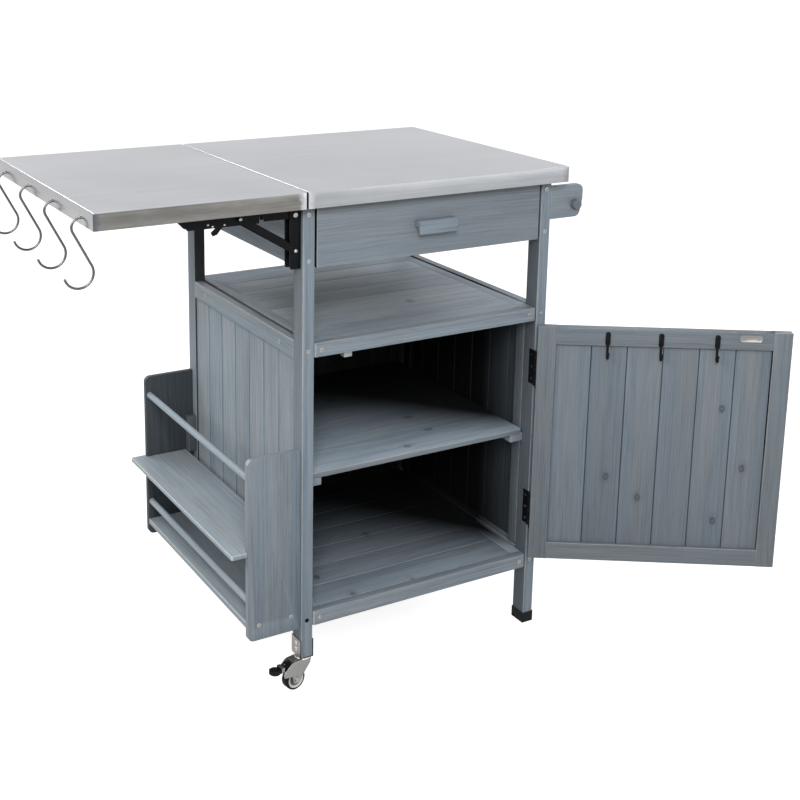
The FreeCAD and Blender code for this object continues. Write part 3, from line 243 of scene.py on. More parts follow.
def bevel(piece, width, segments=3, angle=30):
    """Rounds the sharp edges."""
    return modify(piece, "BEVEL", width=width, segments=segments, limit_method="ANGLE",
                  angle_limit=math.radians(angle))


def cut_away(piece, tools):
    """Takes the tools' shapes out of a piece."""
    for tool in tools:
        modify(piece, "BOOLEAN", object=tool, solver="EXACT")
        bpy.data.objects.remove(tool)
    return piece


def smooth(piece, angle=35):
    activate(piece)
    bpy.ops.object.shade_smooth_by_angle(angle=math.radians(angle))
    return piece


def join(name, pieces):
    deselect()
    for piece in pieces:
        piece.select_set(True)
    bpy.context.view_layer.objects.active = pieces[0]
    bpy.ops.object.join()
    pieces[0].name = name
    return freeze(pieces[0])


def moved(piece, matrix):
    """Puts a turn and a shift into a piece's mesh."""
    piece.data.transform(matrix)
    return piece


def copy_of(piece, matrix):
    """Copy with a mesh of its own, moved by a matrix."""
    twin = piece.copy()
    twin.data = piece.data.copy()
    bpy.context.collection.objects.link(twin)
    return moved(twin, matrix)


def cut_plate(name, outline, low, high):
    """Plate with an outline in X and Z, between two places along Y."""
    deselect()
    bpy.ops.mesh.primitive_circle_add(vertices=len(outline), radius=1, fill_type="NGON")
    piece = bpy.context.object
    piece.name = name
    for vert, (x, z) in zip(piece.data.vertices, outline):
        vert.co = (x, low, z)
    edit(piece)
    bpy.ops.mesh.select_all(action="SELECT")
    bpy.ops.mesh.extrude_region_move(TRANSFORM_OT_translate={"value": (0, high - low, 0)})
    bpy.ops.mesh.select_all(action="SELECT")
    bpy.ops.mesh.normals_make_consistent(inside=False)
    leave_edit()
    return piece


def wire(name, points, radius):
    """Round bar along a smooth line through its control points, made a mesh."""
    line = bpy.data.curves.new(name, "CURVE")
    line.dimensions = "3D"
    line.bevel_depth = radius
    line.bevel_resolution = 3
    line.resolution_u = 10
    line.use_fill_caps = True
    spline = line.splines.new("NURBS")
    spline.points.add(len(points) - 1)
    for point, spot in zip(spline.points, points):
        point.co = (*spot, 1)
    spline.order_u = 3
    spline.use_endpoint_u = True
    piece = bpy.data.objects.new(name, line)
    bpy.context.collection.objects.link(piece)
    activate(piece)
    bpy.ops.object.convert(target="MESH")
    return smooth(bpy.context.object, 50)


def dress(piece, material, body, stands_for=None):
    """Gives a new piece its finish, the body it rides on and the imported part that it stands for."""
    piece.data.materials.clear()
    piece.data.materials.append(material)
    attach(piece, body)
    if stands_for:
        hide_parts(stands_for)
    return piece


def finish_node(name, material):
    """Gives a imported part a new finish."""
    for spot in NODES[name].material_slots:
        spot.material = material


def softened(name, width, segments=2, angle=30):
    """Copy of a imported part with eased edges, which stands for it."""
    piece = bpy.data.objects.new(name + "_eased", NODES[name].data.copy())
    bpy.context.collection.objects.link(piece)
    edit(piece)
    bpy.ops.mesh.select_all(action="SELECT")
    bpy.ops.mesh.remove_doubles(threshold=0.000005)
    bpy.ops.mesh.dissolve_limited(angle_limit=math.radians(1))
    leave_edit()
    smooth(bevel(piece, width, segments, angle), 40)
    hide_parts(name)
    return piece


def ease_node(name, material, body, width, segments=2, angle=30):
    """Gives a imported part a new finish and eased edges."""
    return dress(softened(name, width, segments, angle), material, body)


def islands(name):
    """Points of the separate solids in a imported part."""
    mesh = bmesh.new()
    mesh.from_mesh(NODES[name].data)
    bmesh.ops.remove_doubles(mesh, verts=mesh.verts, dist=1e-6)
    left = set(mesh.verts)
    solids = []
    while left:
        reach = [left.pop()]
        group = list(reach)
        while reach:
            here = reach.pop()
            for edge in here.link_edges:
                other = edge.other_vert(here)
                if other in left:
                    left.remove(other)
                    reach.append(other)
                    group.append(other)
        solids.append([vert.co.copy() for vert in group])
    mesh.free()
    return solids


def corners(points):
    low = Vector(tuple(min(point[i] for point in points) for i in range(3)))
    high = Vector(tuple(max(point[i] for point in points) for i in range(3)))
    return low, high


# Node helpers


class Flow:
    """Number, colour or place on its way through a node tree. Each sum with it adds a node."""

    def __init__(self, socket):
        self.socket = socket
        self.tree = socket.id_data

    def __add__(self, other):
        return reckon("ADD", self, other)

    def __radd__(self, other):
        return reckon("ADD", other, self)

    def __sub__(self, other):
        return reckon("SUBTRACT", self, other)

    def __rsub__(self, other):
        return reckon("SUBTRACT", other, self)

    def __mul__(self, other):
        return reckon("MULTIPLY", self, other)

    def __truediv__(self, other):
        return reckon("DIVIDE", self, other)

    def __gt__(self, other):
        return reckon("GREATER_THAN", self, other)

    def __lt__(self, other):
        return reckon("LESS_THAN", self, other)


def reckon(operation, *values):
    """Math node where the first flow is a number, and otherwise Vector Math node."""
    first = next(value for value in values if isinstance(value, Flow))
    kind = "Math" if first.socket.type == "VALUE" else "VectorMath"
    return flow(first.tree, kind, dict(enumerate(values)), operation=operation)


def connect(node, inputs):
    """Links flows to a node's inputs, and sets the others to their values."""
    for name, value in inputs.items():
        if isinstance(value, Flow):
            value.tree.links.new(value.socket, node.inputs[name])
        else:
            node.inputs[name].default_value = value


def add_node(tree, kind, inputs=None, **options):
    """Adds a node, sets its options and then its inputs."""
    node = tree.nodes.new("ShaderNode" + kind)
    for name, value in options.items():
        setattr(node, name, value)
    connect(node, inputs or {})
    return node


def flow(tree, kind, inputs=None, out=0, **options):
    """Adds a node and gives one of its outputs."""
    return Flow(add_node(tree, kind, inputs, **options).outputs[out])


def part(place, axis):
    return flow(place.tree, "SeparateXYZ", {0: place}, out=axis)


def length(place):
    return flow(place.tree, "VectorMath", {0: place}, out="Value", operation="LENGTH")


def least(first, second):
    return reckon("MINIMUM", first, second)


def most(first, second):
    return reckon("MAXIMUM", first, second)


def blend(factor, first, second):
    """Colour between two others."""
    first, second = (tone if isinstance(tone, Flow) else (*tone, 1) for tone in (first, second))
    return flow(factor.tree, "Mix", {0: factor, 6: first, 7: second}, out=2, data_type="RGBA")


def remap(value, low, high, to_low=0.0, to_high=1.0):
    return flow(value.tree, "MapRange", {0: value, 1: low, 2: high, 3: to_low, 4: to_high})


def noise(spot, scale, detail=2.0, rough=0.5):
    """Cloudy noise. The scale is one number, or one for each axis."""
    if isinstance(scale, tuple):
        spot, scale = spot * scale, 1.0
    return flow(spot.tree, "TexNoise", {"Vector": spot, "Scale": scale, "Detail": detail, "Roughness": rough})


def object_spot(tree):
    return flow(tree, "TexCoord", out="Object")


def within(spot, axis, low, high):
    """One between two limits on an axis, and nought outside them."""
    along = part(spot, axis)
    return (along > low) * (along < high)


def inside(spot, room):
    """One strictly within a box, and nought on its sides and outside it."""
    low, high = room
    return (within(spot, "X", low.x, high.x) * within(spot, "Y", low.y, high.y)
            * within(spot, "Z", low.z, high.z))


def facing(tree, turn=0.0):
    """How squarely a face looks along X, Y and Z, on an object drawn with a turn about Z."""
    normal = flow(tree, "VectorTransform", {0: flow(tree, "NewGeometry", out="True Normal")},
                  vector_type="NORMAL", convert_from="WORLD", convert_to="OBJECT")
    if turn:
        normal = flow(tree, "Mapping", {"Vector": normal, "Rotation": (0, 0, -turn)})
    return reckon("ABSOLUTE", normal)


def new_group(name, inputs):
    """Node group for a surface. Gives its tree, its inputs by name and its output node."""
    tree = bpy.data.node_groups.new(name, "ShaderNodeTree")
    for label, kind, default in inputs:
        socket = tree.interface.new_socket(label, in_out="INPUT", socket_type="NodeSocket" + kind)
        if default is not None:
            socket.default_value = default
    for label, kind in (("Color", "Color"), ("Height", "Float"), ("Roughness", "Float")):
        tree.interface.new_socket(label, in_out="OUTPUT", socket_type="NodeSocket" + kind)
    given = tree.nodes.new("NodeGroupInput")
    return tree, {socket.name: Flow(socket) for socket in given.outputs}, tree.nodes.new("NodeGroupOutput")


def use_group(tree, make, inputs):
    """Places the node group that a function makes, once for all. Gives its outputs by name."""
    name = make.__name__.capitalize()
    group = bpy.data.node_groups.get(name) or make(name)
    placed = add_node(tree, "Group", inputs, node_tree=group)
    return {socket.name: Flow(socket) for socket in placed.outputs}


def new_material(name):
    """Material with a Principled shader. Gives it, its tree and the shader."""
    material = bpy.data.materials.new(name)
    material.use_nodes = True
    tree = material.node_tree
    return material, tree, tree.nodes["Principled BSDF"]


def add_bump(principled, height, distance):
    bump = flow(height.tree, "Bump", {"Strength": 1.0, "Distance": distance, "Height": height})
    connect(principled, {"Normal": bump})


def lay_on(principled, effect, bump, colour=None):
    """Leads an effect into the shader, with another colour if there is one."""
    connect(principled, {"Base Color": colour or effect["Color"], "Roughness": effect["Roughness"]})
    add_bump(principled, effect["Height"], bump)


# Shared effects


def fir(name):
    """Growth lines, fibres, streaks, knots and worn joints of boards whose grain runs along Z."""
    tree, given, result = new_group(
        name,
        [("Vector", "Vector", None), ("Board", "Vector", (0.06, 0.06, 10.0)),
         ("Stain", "Color", (0.25, 0.3, 0.35, 1)), ("Grain", "Color", (0.1, 0.14, 0.18, 1)),
         ("Knot", "Color", (0.05, 0.06, 0.07, 1)), ("Knot distance", "Float", 1.0),
         ("Bare", "Color", (0.3, 0.29, 0.26, 1)), ("Random knots", "Float", 1.0),
         ("Contrast", "Float", 1.0), ("Joints", "Float", 0.0), ("Groove", "Float", 0.0)])
    board = given["Board"]
    index = reckon("FLOOR", given["Vector"] / board)
    chance = flow(tree, "TexWhiteNoise", {"Vector": index}, out="Color", noise_dimensions="3D")
    middle = (index + (0.5, 0.5, 0.5)) * board * (1, 1, 0)
    local = given["Vector"] - middle
    spot = local + (chance - (0.5, 0.5, 0.5)) * (0.16, 0.2, 6.0)
    tone = part(chance, "X")

    # Knots: rare round spots, drawn out a little along the grain, and the ones given by distance
    knots_per_metre = 11.0
    rarity = 0.72
    cells = add_node(tree, "TexVoronoi", {
        "Vector": spot * (knots_per_metre, knots_per_metre, 6.5), "Scale": 1.0}, feature="F1")
    luck = flow(tree, "SeparateColor", {0: Flow(cells.outputs["Color"])})
    barred = 1.0 - (luck > rarity) * given["Random knots"]
    away = Flow(cells.outputs["Distance"]) / knots_per_metre + barred
    away = least(away, given["Knot distance"]) + noise(spot, (300.0, 300.0, 200.0)) * 0.003
    knot = remap(away, 0.0085, 0.0055)
    heart = remap(away, 0.0048, 0.002)
    halo = remap(away, 0.016, 0.004)

    # Growth lines: distance from the pith, bent by slow noise and pushed round the knots
    lines_per_metre = 1250.0
    wander = (noise(spot, (9.0, 9.0, 1.4)) - 0.5) * 0.04
    radius = length(spot * (1.0, 0.8, 0.012)) + wander + halo * 0.004
    rings = reckon("POWER", remap(reckon("SINE", radius * lines_per_metre), -1.0, 1.0), 2.2)

    # Fibres, fine lines, streaks and clouds, from narrow to wide
    fibre = noise(spot, (900.0, 900.0, 16.0), 3.0, 0.6)
    pores = remap(noise(spot, (700.0, 700.0, 40.0), 1.0), 0.62, 0.75)
    line = noise(spot, (260.0, 260.0, 5.0), 3.0, 0.6)
    streak = noise(spot, (60.0, 60.0, 1.8), 3.0, 0.55)
    pale_patches = noise(spot, (38.0, 38.0, 1.6), 3.0, 0.6)
    cloud = noise(spot, (7.0, 7.0, 2.4))
    dark = rings * 0.13 + remap(streak, 0.35, 0.75, 0.0, 0.10) + remap(line, 0.5, 0.63, 0.0, 0.25)
    dark = dark + remap(fibre, 0.35, 0.7, 0.0, 0.34) + pores * 0.22 + remap(cloud, 0.3, 0.7, -0.10, 0.12)
    dark = least(most(dark * given["Contrast"], 0.0), 1.0)
    thin = remap(pale_patches + tone * 0.12, 0.46, 0.74, 0.0, 0.36)
    ground = blend(thin, given["Stain"], given["Bare"])
    edges = board * (0.5, 0.5, 0.5) - reckon("ABSOLUTE", local)
    near = least(part(edges, "X"), part(edges, "Y"))
    ground = blend(remap(near, 0.004, 0.022, 0.0, 0.3), ground, given["Bare"])
    colour = blend(dark, ground, given["Grain"])
    colour = flow(tree, "HueSaturation", {"Saturation": remap(streak, 0.3, 0.7, 0.85, 1.15),
                                          "Value": remap(tone, 0.0, 1.0, 0.91, 1.09), "Color": colour})
    core = most((knot - heart * 0.55) * 0.8, halo * 0.22)
    colour = blend(core, colour, given["Knot"])

    # Joints: the boards' eased edges are rubbed paler, and the gap between them is a fine groove
    worn = remap(near, 0.0022, 0.0006) * given["Joints"] * remap(line, 0.3, 0.6, 0.25, 1.0)
    groove = most(remap(near, 0.0008, 0.0003) * given["Joints"],
                  remap(near, 0.0011, 0.0005) * given["Groove"])
    colour = blend(worn * 0.35, colour, (0.46, 0.50, 0.53))
    colour = blend(groove * 0.75, colour, (0.03, 0.035, 0.04))
    connect(result, {"Color": colour, "Height": rings * -0.35 + fibre * 0.65 - groove * 3.0,
                     "Roughness": remap(fibre, 0.2, 0.8, 0.5, 0.68)})
    return tree


def brushed(name):
    """Fine parallel scratches and faint clouds of a brushed sheet, the brushing along X."""
    tree, given, result = new_group(
        name, [("Vector", "Vector", None), ("Steel", "Color", (0.6, 0.6, 0.62, 1)),
               ("Gloss", "Float", 0.3), ("Wear", "Float", 0.5)])
    spot = given["Vector"]
    lines = noise(spot, (5.0, 2400.0, 2400.0), 2.0, 0.6)
    clouds = noise(spot, 7.0, 3.0, 0.55)
    broad = noise(spot, (1.5, 160.0, 160.0), 3.0, 0.6)
    first, second, third = (remap(effect, 0.3, 0.7, -0.05, 0.05) for effect in (lines, clouds, broad))
    colour = flow(tree, "HueSaturation", {"Value": 1.0 + (first + second + third), "Color": given["Steel"]})
    rough = given["Gloss"] + clouds * (given["Wear"] * 0.3)
    connect(result, {"Color": colour, "Height": lines, "Roughness": rough})
    return tree


def speckle(name):
    """Orange-peel skin with dull patches, for coated metal, rubber and moulded plastic."""
    tree, given, result = new_group(
        name, [("Vector", "Vector", None), ("Base", "Color", (0.02, 0.02, 0.02, 1)), ("Size", "Float", 900.0),
               ("Gloss low", "Float", 0.4), ("Gloss high", "Float", 0.6), ("Dust", "Float", 0.3)])
    spot = given["Vector"]
    patches = noise(spot, 22.0, 3.0, 0.6)
    dust = remap(patches, 0.42, 0.8) * given["Dust"]
    rough = remap(patches, 0.3, 0.7, given["Gloss low"], given["Gloss high"])
    connect(result, {"Color": blend(dust, given["Base"], (0.2, 0.2, 0.2)), "Roughness": rough,
                     "Height": noise(spot, given["Size"])})
    return tree


# Materials


def shared(name, make):
    """Material that several pieces use, made once."""
    return bpy.data.materials.get(name) or make(name)


def coated(name, colour, size=900.0, gloss=(0.4, 0.6), dust=0.06, shine=0.5):
    """Coat, rubber or moulded plastic."""
    material, tree, principled = new_material(name)
    effect = use_group(tree, speckle, {
        "Vector": object_spot(tree), "Base": (*colour, 1), "Size": size,
        "Gloss low": gloss[0], "Gloss high": gloss[1], "Dust": dust})
    connect(principled, {"Specular IOR Level": shine})
    lay_on(principled, effect, bump=0.00006)
    return material


SCRATCH_DEPTH = 0.000008


def metal(name, colour, gloss=0.3, wear=0.5, turn=(0, 0, 0), bump=SCRATCH_DEPTH):
    """Bare brushed metal. The turn lays its scratches along another axis."""
    material, tree, principled = new_material(name)
    spot = flow(tree, "Mapping", {"Vector": object_spot(tree), "Rotation": turn})
    effect = use_group(tree, brushed, {"Vector": spot, "Steel": (*colour, 1), "Wear": wear, "Gloss": gloss})
    connect(principled, {"Metallic": 1.0})
    lay_on(principled, effect, bump)
    return material


def tray_steel(name, low, high, tones, streaky):
    """Brushed sheet of a tray. Its rims get painted reflection and shade, and strips of painted highlight and
    shade at the corners, partly ground welds.
    """
    material, tree, principled = new_material(name)
    spot = object_spot(tree)
    effect = use_group(tree, brushed, {
        "Vector": spot, "Steel": (*settings().steel, 1), "Wear": 0.4, "Gloss": 0.27})
    # Streaks and blotches of painted reflection on the rims.
    streaks = remap(noise(spot, (4.0, 4.0, 260.0), 3.0, 0.6), 0.3, 0.7, -0.18, 0.12)
    blotches = remap(noise(spot, (14.0, 14.0, 60.0), 3.0, 0.6), 0.3, 0.7, -0.15, 0.15)
    below = within(spot, "Z", -1.0, high.z - 0.0018)
    in_front = within(spot, "Y", -2.0, low.y + 0.0015)
    value = 1.0 + (streaks + blotches) * remap(in_front, 0.0, 1.0, 0.25, streaky)
    rim = blend(in_front, tones["end"], tones["front"])
    rim = flow(tree, "HueSaturation", {"Value": value, "Color": rim})
    ragged = remap(noise(spot, (90.0, 90.0, 150.0), 3.0), 0.3, 0.7, -0.003, 0.003)
    along = part(spot, "X") + ragged
    # Strips of painted highlight and shade at the rims' ends, with ragged edges: ground and edge are where
    # they begin and become full.
    ground, edge = 0.013, 0.004
    rim = blend(remap(along, high.x - ground, high.x - edge) * in_front, rim, tones["right"])
    rim = blend(remap(along, low.x + ground, low.x + edge) * in_front, rim, tones["left"])
    rough = flow(tree, "Mix", {0: below, 2: effect["Roughness"], 3: 0.2})
    connect(principled, {"Base Color": blend(below, effect["Color"], rim), "Roughness": rough,
                         "Metallic": 1.0})
    add_bump(principled, effect["Height"], SCRATCH_DEPTH)
    return material


ALONG = {"X": (0, -math.pi / 2, 0), "Y": (math.pi / 2, 0, 0), "Z": (0, 0, 0)}
NO_WIDTH = 0.2


def wood(name, along="Z", start=(0, 0, 0), board=(NO_WIDTH, NO_WIDTH), shade=1.0, knots=1.0, contrast=1.0,
         swap=None, door=False, spots=(), joints=0.0, groove=0.0, room=None, corner=None, fall=(130, 350),
         deep=0.03, worn=0.55):
    """Stained fir with its grain along one axis, and its eased edges paler, partly wear and partly painted
    highlight.

    swap: (axis, low, high, other way) turns the grain between two limits on one axis.
    spots: places of knots. room: box in which painted shade darkens the stain from front to back, by fall and
    deep.
    corner: upright line around which that painted shade turns; fall then holds slopes.
    shade: brightness of all the part's colours, partly the board's own tone and partly painted light and
    shade.
    """
    material, tree, principled = new_material(name)
    cart = settings()
    plain = object_spot(tree)
    if door:
        plain = flow(tree, "Mapping", {"Vector": plain, "Location": PIN, "Rotation": (0, 0, DOOR_ANGLE)},
                     vector_type="TEXTURE")
    spot = plain - tuple(start)
    grain = flow(tree, "Mapping", {"Vector": spot, "Rotation": ALONG[along]})
    if swap:
        axis, low, high, other = swap
        crossed = flow(tree, "Mapping", {"Vector": spot, "Rotation": ALONG[other]})
        grain = flow(tree, "Mix", {0: within(plain, axis, low, high), 4: grain, 5: crossed}, out=1,
                     data_type="VECTOR")
    nearest = 1.0
    stretch = tuple(0.7 if axis == along else 1.0 for axis in "XYZ")
    for place in spots:
        nearest = least(length((plain - tuple(place)) * stretch), nearest)
    tones = {label: (*[shade * value for value in tone], 1) for label, tone in (
        ("Stain", cart.stain), ("Grain", cart.grain), ("Bare", cart.bare), ("Knot", cart.knot))}
    effect = use_group(tree, fir, {
        "Vector": grain, "Board": (*board, 20.0), "Random knots": knots, "Contrast": contrast,
        "Knot distance": nearest, "Joints": joints, "Groove": groove, **tones})
    colour = effect["Color"]
    # Eased edges paler in patches: partly wear, partly a painted highlight along the arrises.
    if worn:
        squarely = facing(tree, DOOR_ANGLE if door else 0.0)
        square = most(part(squarely, "X"), most(part(squarely, "Y"), part(squarely, "Z")))
        patchy = remap(noise(plain, 60.0, 3.0, 0.6), 0.3, 0.6, 0.35, 1.0)
        pale_patches = patchy * remap(square, 0.985, 0.93, 0.0, worn)
        colour = blend(pale_patches, colour, (0.47 * shade, 0.50 * shade, 0.51 * shade))
    # Painted shade: towards black inside the room, darkest at its back or away from the corner; deep is the
    # share of colour kept.
    if room:
        colour = blend(depth_shade(plain, room, corner, fall) * (1.0 - deep), colour, (0.0, 0.0, 0.0))
    connect(principled, {"Specular IOR Level": 0.3})
    lay_on(principled, effect, cart.grain_depth, colour)
    return material


def depth_shade(plain, room, corner, fall):
    """Painted shade, nought at a room's front and one at its back, or round its corner."""
    if corner:
        away = plain - tuple(corner)
        slope = part(away, "Y") / (part(away, "X") * -1.0)
        depth = 1.0 - reckon("POWER", remap(slope, fall[0], fall[1], 1.0, 0.0), 1.6)
    else:
        depth = remap(part(plain, "Y"), at(0, fall[0], 0).y, at(0, fall[1], 0).y)
    return depth * inside(plain, room)


def particle_board(name):
    """Pressed chips under the steel."""
    material, tree, principled = new_material(name)
    chips = flow(tree, "TexVoronoi", {"Vector": object_spot(tree) * (260.0, 260.0, 700.0), "Scale": 1.0},
                 out="Color", feature="F1")
    tone = flow(tree, "SeparateColor", {0: chips})
    colour = blend(remap(tone, 0.0, 1.0, 0.0, 0.8), (0.42, 0.31, 0.19), (0.24, 0.165, 0.095))
    connect(principled, {"Base Color": colour, "Roughness": 0.85})
    add_bump(principled, tone, 0.0002)
    return material


def black_coat():
    return shared("Black coat", lambda name: coated(name, settings().black, 1200.0, (0.38, 0.55), 0.01, 0.12))


def black_plastic():
    return shared("Black plastic", lambda name: coated(
        name, (0.004, 0.004, 0.005), 1500.0, (0.35, 0.5), 0.01, 0.15))


def tyre_rubber():
    return shared("Tyre rubber", lambda name: coated(
        name, (0.005, 0.005, 0.006), 900.0, (0.45, 0.65), 0.01, 0.12))


def zinc():
    return shared("Zinc", lambda name: metal(name, settings().zinc, 0.3, 0.7))


def stainless():
    return shared("Fork steel", lambda name: metal(name, (0.36, 0.355, 0.345), 0.26, 0.9, (0, 0, 1.2)))


# Steps


# Rooms and falls of the painted shade: the cupboard's inside, a corner beyond the cart, and a fall that ends
# before the cart, which shades a whole room evenly. A leg's outer skin stays out of the painted shade.
CUPBOARD = (at(3.5, 26.5, 131), at(502.5, 507.5, 627.5))
FAR = Vector((1, 1, 1))
EVEN = (-900, -800)
SKIN = 0.0006
MARGIN = 0.01


def stain(name, along, start=(0, 0, 0), body="cart", width=BOARD_EDGE, segments=2, angle=30, **look):
    """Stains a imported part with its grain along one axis, and eases its edges."""
    ease_node(name, wood("Fir " + name, along, start, **look), body, width, segments, angle)


class GRILLCART_OT_boards(bpy.types.Operator):
    """Stains the frame's boards, each with the grain along its length"""

    bl_idname = "grill_cart.boards"
    bl_label = "Stain the frame"

    def execute(self, context):
        margin = Vector((MARGIN, MARGIN, MARGIN))
        # Painted shade on the legs: the faces that look into the cart, and the front left leg's left face.
        # The numbers are each leg's painted brightness, and the share of colour that its shaded faces keep.
        for name, shade, deep in (("leg_front_left", 0.93, 0.72), ("leg_front_right", 0.95, 0.45),
                                  ("leg_rear_left", 0.8, 0.15), ("leg_rear_right", 0.8, 0.35)):
            low, high = box(name)
            shown = Vector((SKIN if "left" in name else -MARGIN,
                            SKIN if "front" in name else -MARGIN, -MARGIN))
            room = (low + shown, high + Vector((-SKIN, -SKIN, MARGIN)))
            if name == "leg_front_left":
                room = (low - margin, Vector((low.x + SKIN, high.y, high.z)))
            stain(name, "Z", low, width=FRAME_EDGE, knots=0.0, contrast=0.8, shade=shade, room=room,
                  fall=EVEN, deep=deep)
        corner = at(0, 0, 0)
        cross = ("X", at(25.5, 0, 0).x, at(480.5, 0, 0).x, "X")
        stain("aprons", "Y", corner, swap=cross, shade=1.1)
        stain("drawer_runners", "Y", corner)
        # Painted shade inside the cupboard, darker towards its back; the battens' and cleats' low shades are
        # painted shade too.
        for name in ("upper_rails", "lower_rails"):
            stain(name, "Y", at(-50, 0, 0), width=FRAME_EDGE, swap=cross, knots=0.3, shade=1.02,
                  room=CUPBOARD, fall=(60, 200))
        for name, shade in (("panel_battens", 0.55), ("rack_cleats", 0.3)):
            stain(name, "Z", corner, shade=shade, room=CUPBOARD, fall=(60, 300))
        stain("shelf_cleats", "Y", corner, room=CUPBOARD, fall=(60, 200))
        ledge_wood = wood("Fir ledges", "Y", corner, knots=0.0, room=CUPBOARD, fall=(60, 200))
        dress(add_ledges(), ledge_wood, "cart")
        for name in ("worktop_core", "leaf_core", "drawer_bottom"):
            finish_node(name, shared("Particle board", particle_board))
        return {"FINISHED"}


def add_ledges():
    """Ledges that carry the bottom shelf at its sides, and sills under the side panels."""
    pieces = []
    for low, high in ((19.2, 36), (470, 486.8)):
        pieces.append(block("ledge", at(low, 60, 117.5), at(high, 474, 132.8)))
    for low, high in ((6.2, 13.8), (492.2, 499.8)):
        pieces.append(block("sill", at(low, 59.5, 143.1), at(high, 474.5, 150.2)))
    return bevel(join("shelf_ledges", pieces), BOARD_EDGE, 2)


# Widths of the planks. One piece is wider than any board, so it has no joints.
ONE_PIECE = 0.5
SIDE_PLANK = 0.05943
BACK_PLANK = 0.06506
SHELF_PLANK = 0.0642857
LOOSE_SHELF_PLANK = 0.0866
DOOR_PLANK = 0.0641667
# Upright line by the door's hinge, around which the shelves' painted shade turns.
HINGE_POST = at(533, 67, 0)


class GRILLCART_OT_panels(bpy.types.Operator):
    """Stains the planked sides, back and shelves, plank by plank"""

    bl_idname = "grill_cart.panels"
    bl_label = "Stain the panels and shelves"

    def execute(self, context):
        left, right, back, upper, middle, bottom = (box(name)[0] for name in (
            "left_panel", "right_panel", "back_panel", "upper_shelf", "middle_shelf", "bottom_shelf"))
        left.x -= ONE_PIECE / 2
        right.x -= ONE_PIECE / 2
        side = {"board": (ONE_PIECE, SIDE_PLANK), "width": PLANK_EDGE, "knots": 0.3, "worn": 0.0}
        # Painted shade darkens the panels' inner faces towards the back of the cupboard.
        stain("left_panel", "Z", left, shade=0.98, contrast=1.1, groove=1.0, room=(at(6.6, 0, 0), FAR),
              fall=(60, 300), **side)
        stain("right_panel", "Z", right, shade=0.9, groove=0.7, spots=[at(493, 93, 520)],
              room=(-FAR, at(499.4, 600, 900)), fall=(-170, 200), deep=0.01, **side)
        stain("back_panel", "Z", back, board=(BACK_PLANK, ONE_PIECE), width=PLANK_EDGE, groove=0.85, worn=0.0,
              room=(-FAR, at(900, 504.4, 900)), fall=(0, 100))

        strips = ("X", at(47.5, 0, 0).x, at(458.5, 0, 0).x, "X")
        shelf = {"board": (ONE_PIECE, SHELF_PLANK), "width": SHELF_EDGE, "swap": strips, "knots": 0.2,
                 "worn": 0.3}
        # Painted shade on the lower shelves, turning round the hinge post; the shelves' high shades are
        # painted light.
        shaded = {"room": (-FAR, FAR), "corner": HINGE_POST, "deep": 0.01}
        stain("upper_shelf", "Y", upper, spots=[at(150, 330, 628), at(300, 170, 628)], shade=1.12, groove=0.9,
              **shelf)
        knots = [at(256, 239, 143), at(90, 133, 143), at(240, 40, 143), at(118, 46, 143)]
        stain("bottom_shelf", "Y", bottom, spots=knots, shade=1.25, joints=0.65, fall=(0.0, 1.45), **shaded,
              **shelf)
        knots = [at(234, 343, 388), at(321, 199, 388), at(320, 127, 388), at(243, 77, 388)]
        stain("middle_shelf", "X", middle, board=(ONE_PIECE, LOOSE_SHELF_PLANK), width=SHELF_EDGE, knots=0.1,
              spots=knots, worn=0.3, shade=1.75, joints=0.8, fall=(0.0, 1.25), **shaded)
        return {"FINISHED"}


class GRILLCART_OT_rack(bpy.types.Operator):
    """Stains the side rack and the towel bar"""

    bl_idname = "grill_cart.rack"
    bl_label = "Stain the rack and towel bar"

    def execute(self, context):
        corner = at(-200, -100, 0)
        # Painted shade on the rack's rear end and inside, darker towards its back; the shelves', dowels' and
        # bar's shades are painted light and shade.
        stain("rack_panels", "Z", corner, width=THICK_EDGE, shade=0.86, knots=0.1,
              room=(at(-200, 60, 0), at(100, 502.5, 900)), fall=(60, 400), deep=0.22)
        for name, shade in (("rack_middle_shelf", 1.25), ("rack_bottom_shelf", 1.05)):
            stain(name, "Y", corner, width=FRAME_EDGE, knots=0.3, contrast=0.8, shade=shade)
        turned = {"contrast": 0.5, "knots": 0.0, "worn": 0.0}
        finish_node("rack_dowels", wood("Fir rack_dowels", "Y", at(-200, 0, 0), shade=1.1, **turned))
        finish_node("handle_bar", wood("Fir handle_bar", "Y", at(450, 0, 700), shade=0.62, **turned))
        stain("handle_arms", "X", at(450, -100, 700), width=THICK_EDGE, knots=0.0, contrast=0.8, worn=0.25)
        return {"FINISHED"}


# Rounding of the two wooden pulls
PULL_EDGE = {"width": 0.0026, "segments": 4, "angle": 25}


class GRILLCART_OT_drawer(bpy.types.Operator):
    """Stains the drawer and gives its pull a rounded nose"""

    bl_idname = "grill_cart.drawer"
    bl_label = "Finish the drawer"

    def execute(self, context):
        # Painted shadow: the drawer front's left end, in the gap beside the leg, is darkened almost to black.
        low, high = box("drawer_front")
        cheek = (low + Vector((-MARGIN, 0.0015, -MARGIN)),
                 Vector((low.x + 0.0008, high.y + MARGIN, high.z + MARGIN)))
        start = at(0, 0, 700)
        stain("drawer_front", "X", start, "drawer", FRAME_EDGE, shade=0.92, contrast=0.8, knots=0.0,
              room=cheek, fall=EVEN)
        stain("drawer_sides", "Y", start, "drawer")
        stain("drawer_back", "X", start, "drawer")
        stain("drawer_pull", "X", at(100, 0, 700), "drawer", knots=0.0, worn=0.0, **PULL_EDGE)
        return {"FINISHED"}


# Door, measured from its pin: its inner face, where the hooks and the strike sit in shares of its width,
# and the inner edges of its stiles
FACE = 0.0225
HOOK_SHARES = (0.28, 0.49, 0.71)
STRIKE_SHARE = 0.84
DOOR_WIDE = 0.451
STILE_INNER = (-0.4195, -0.0345)


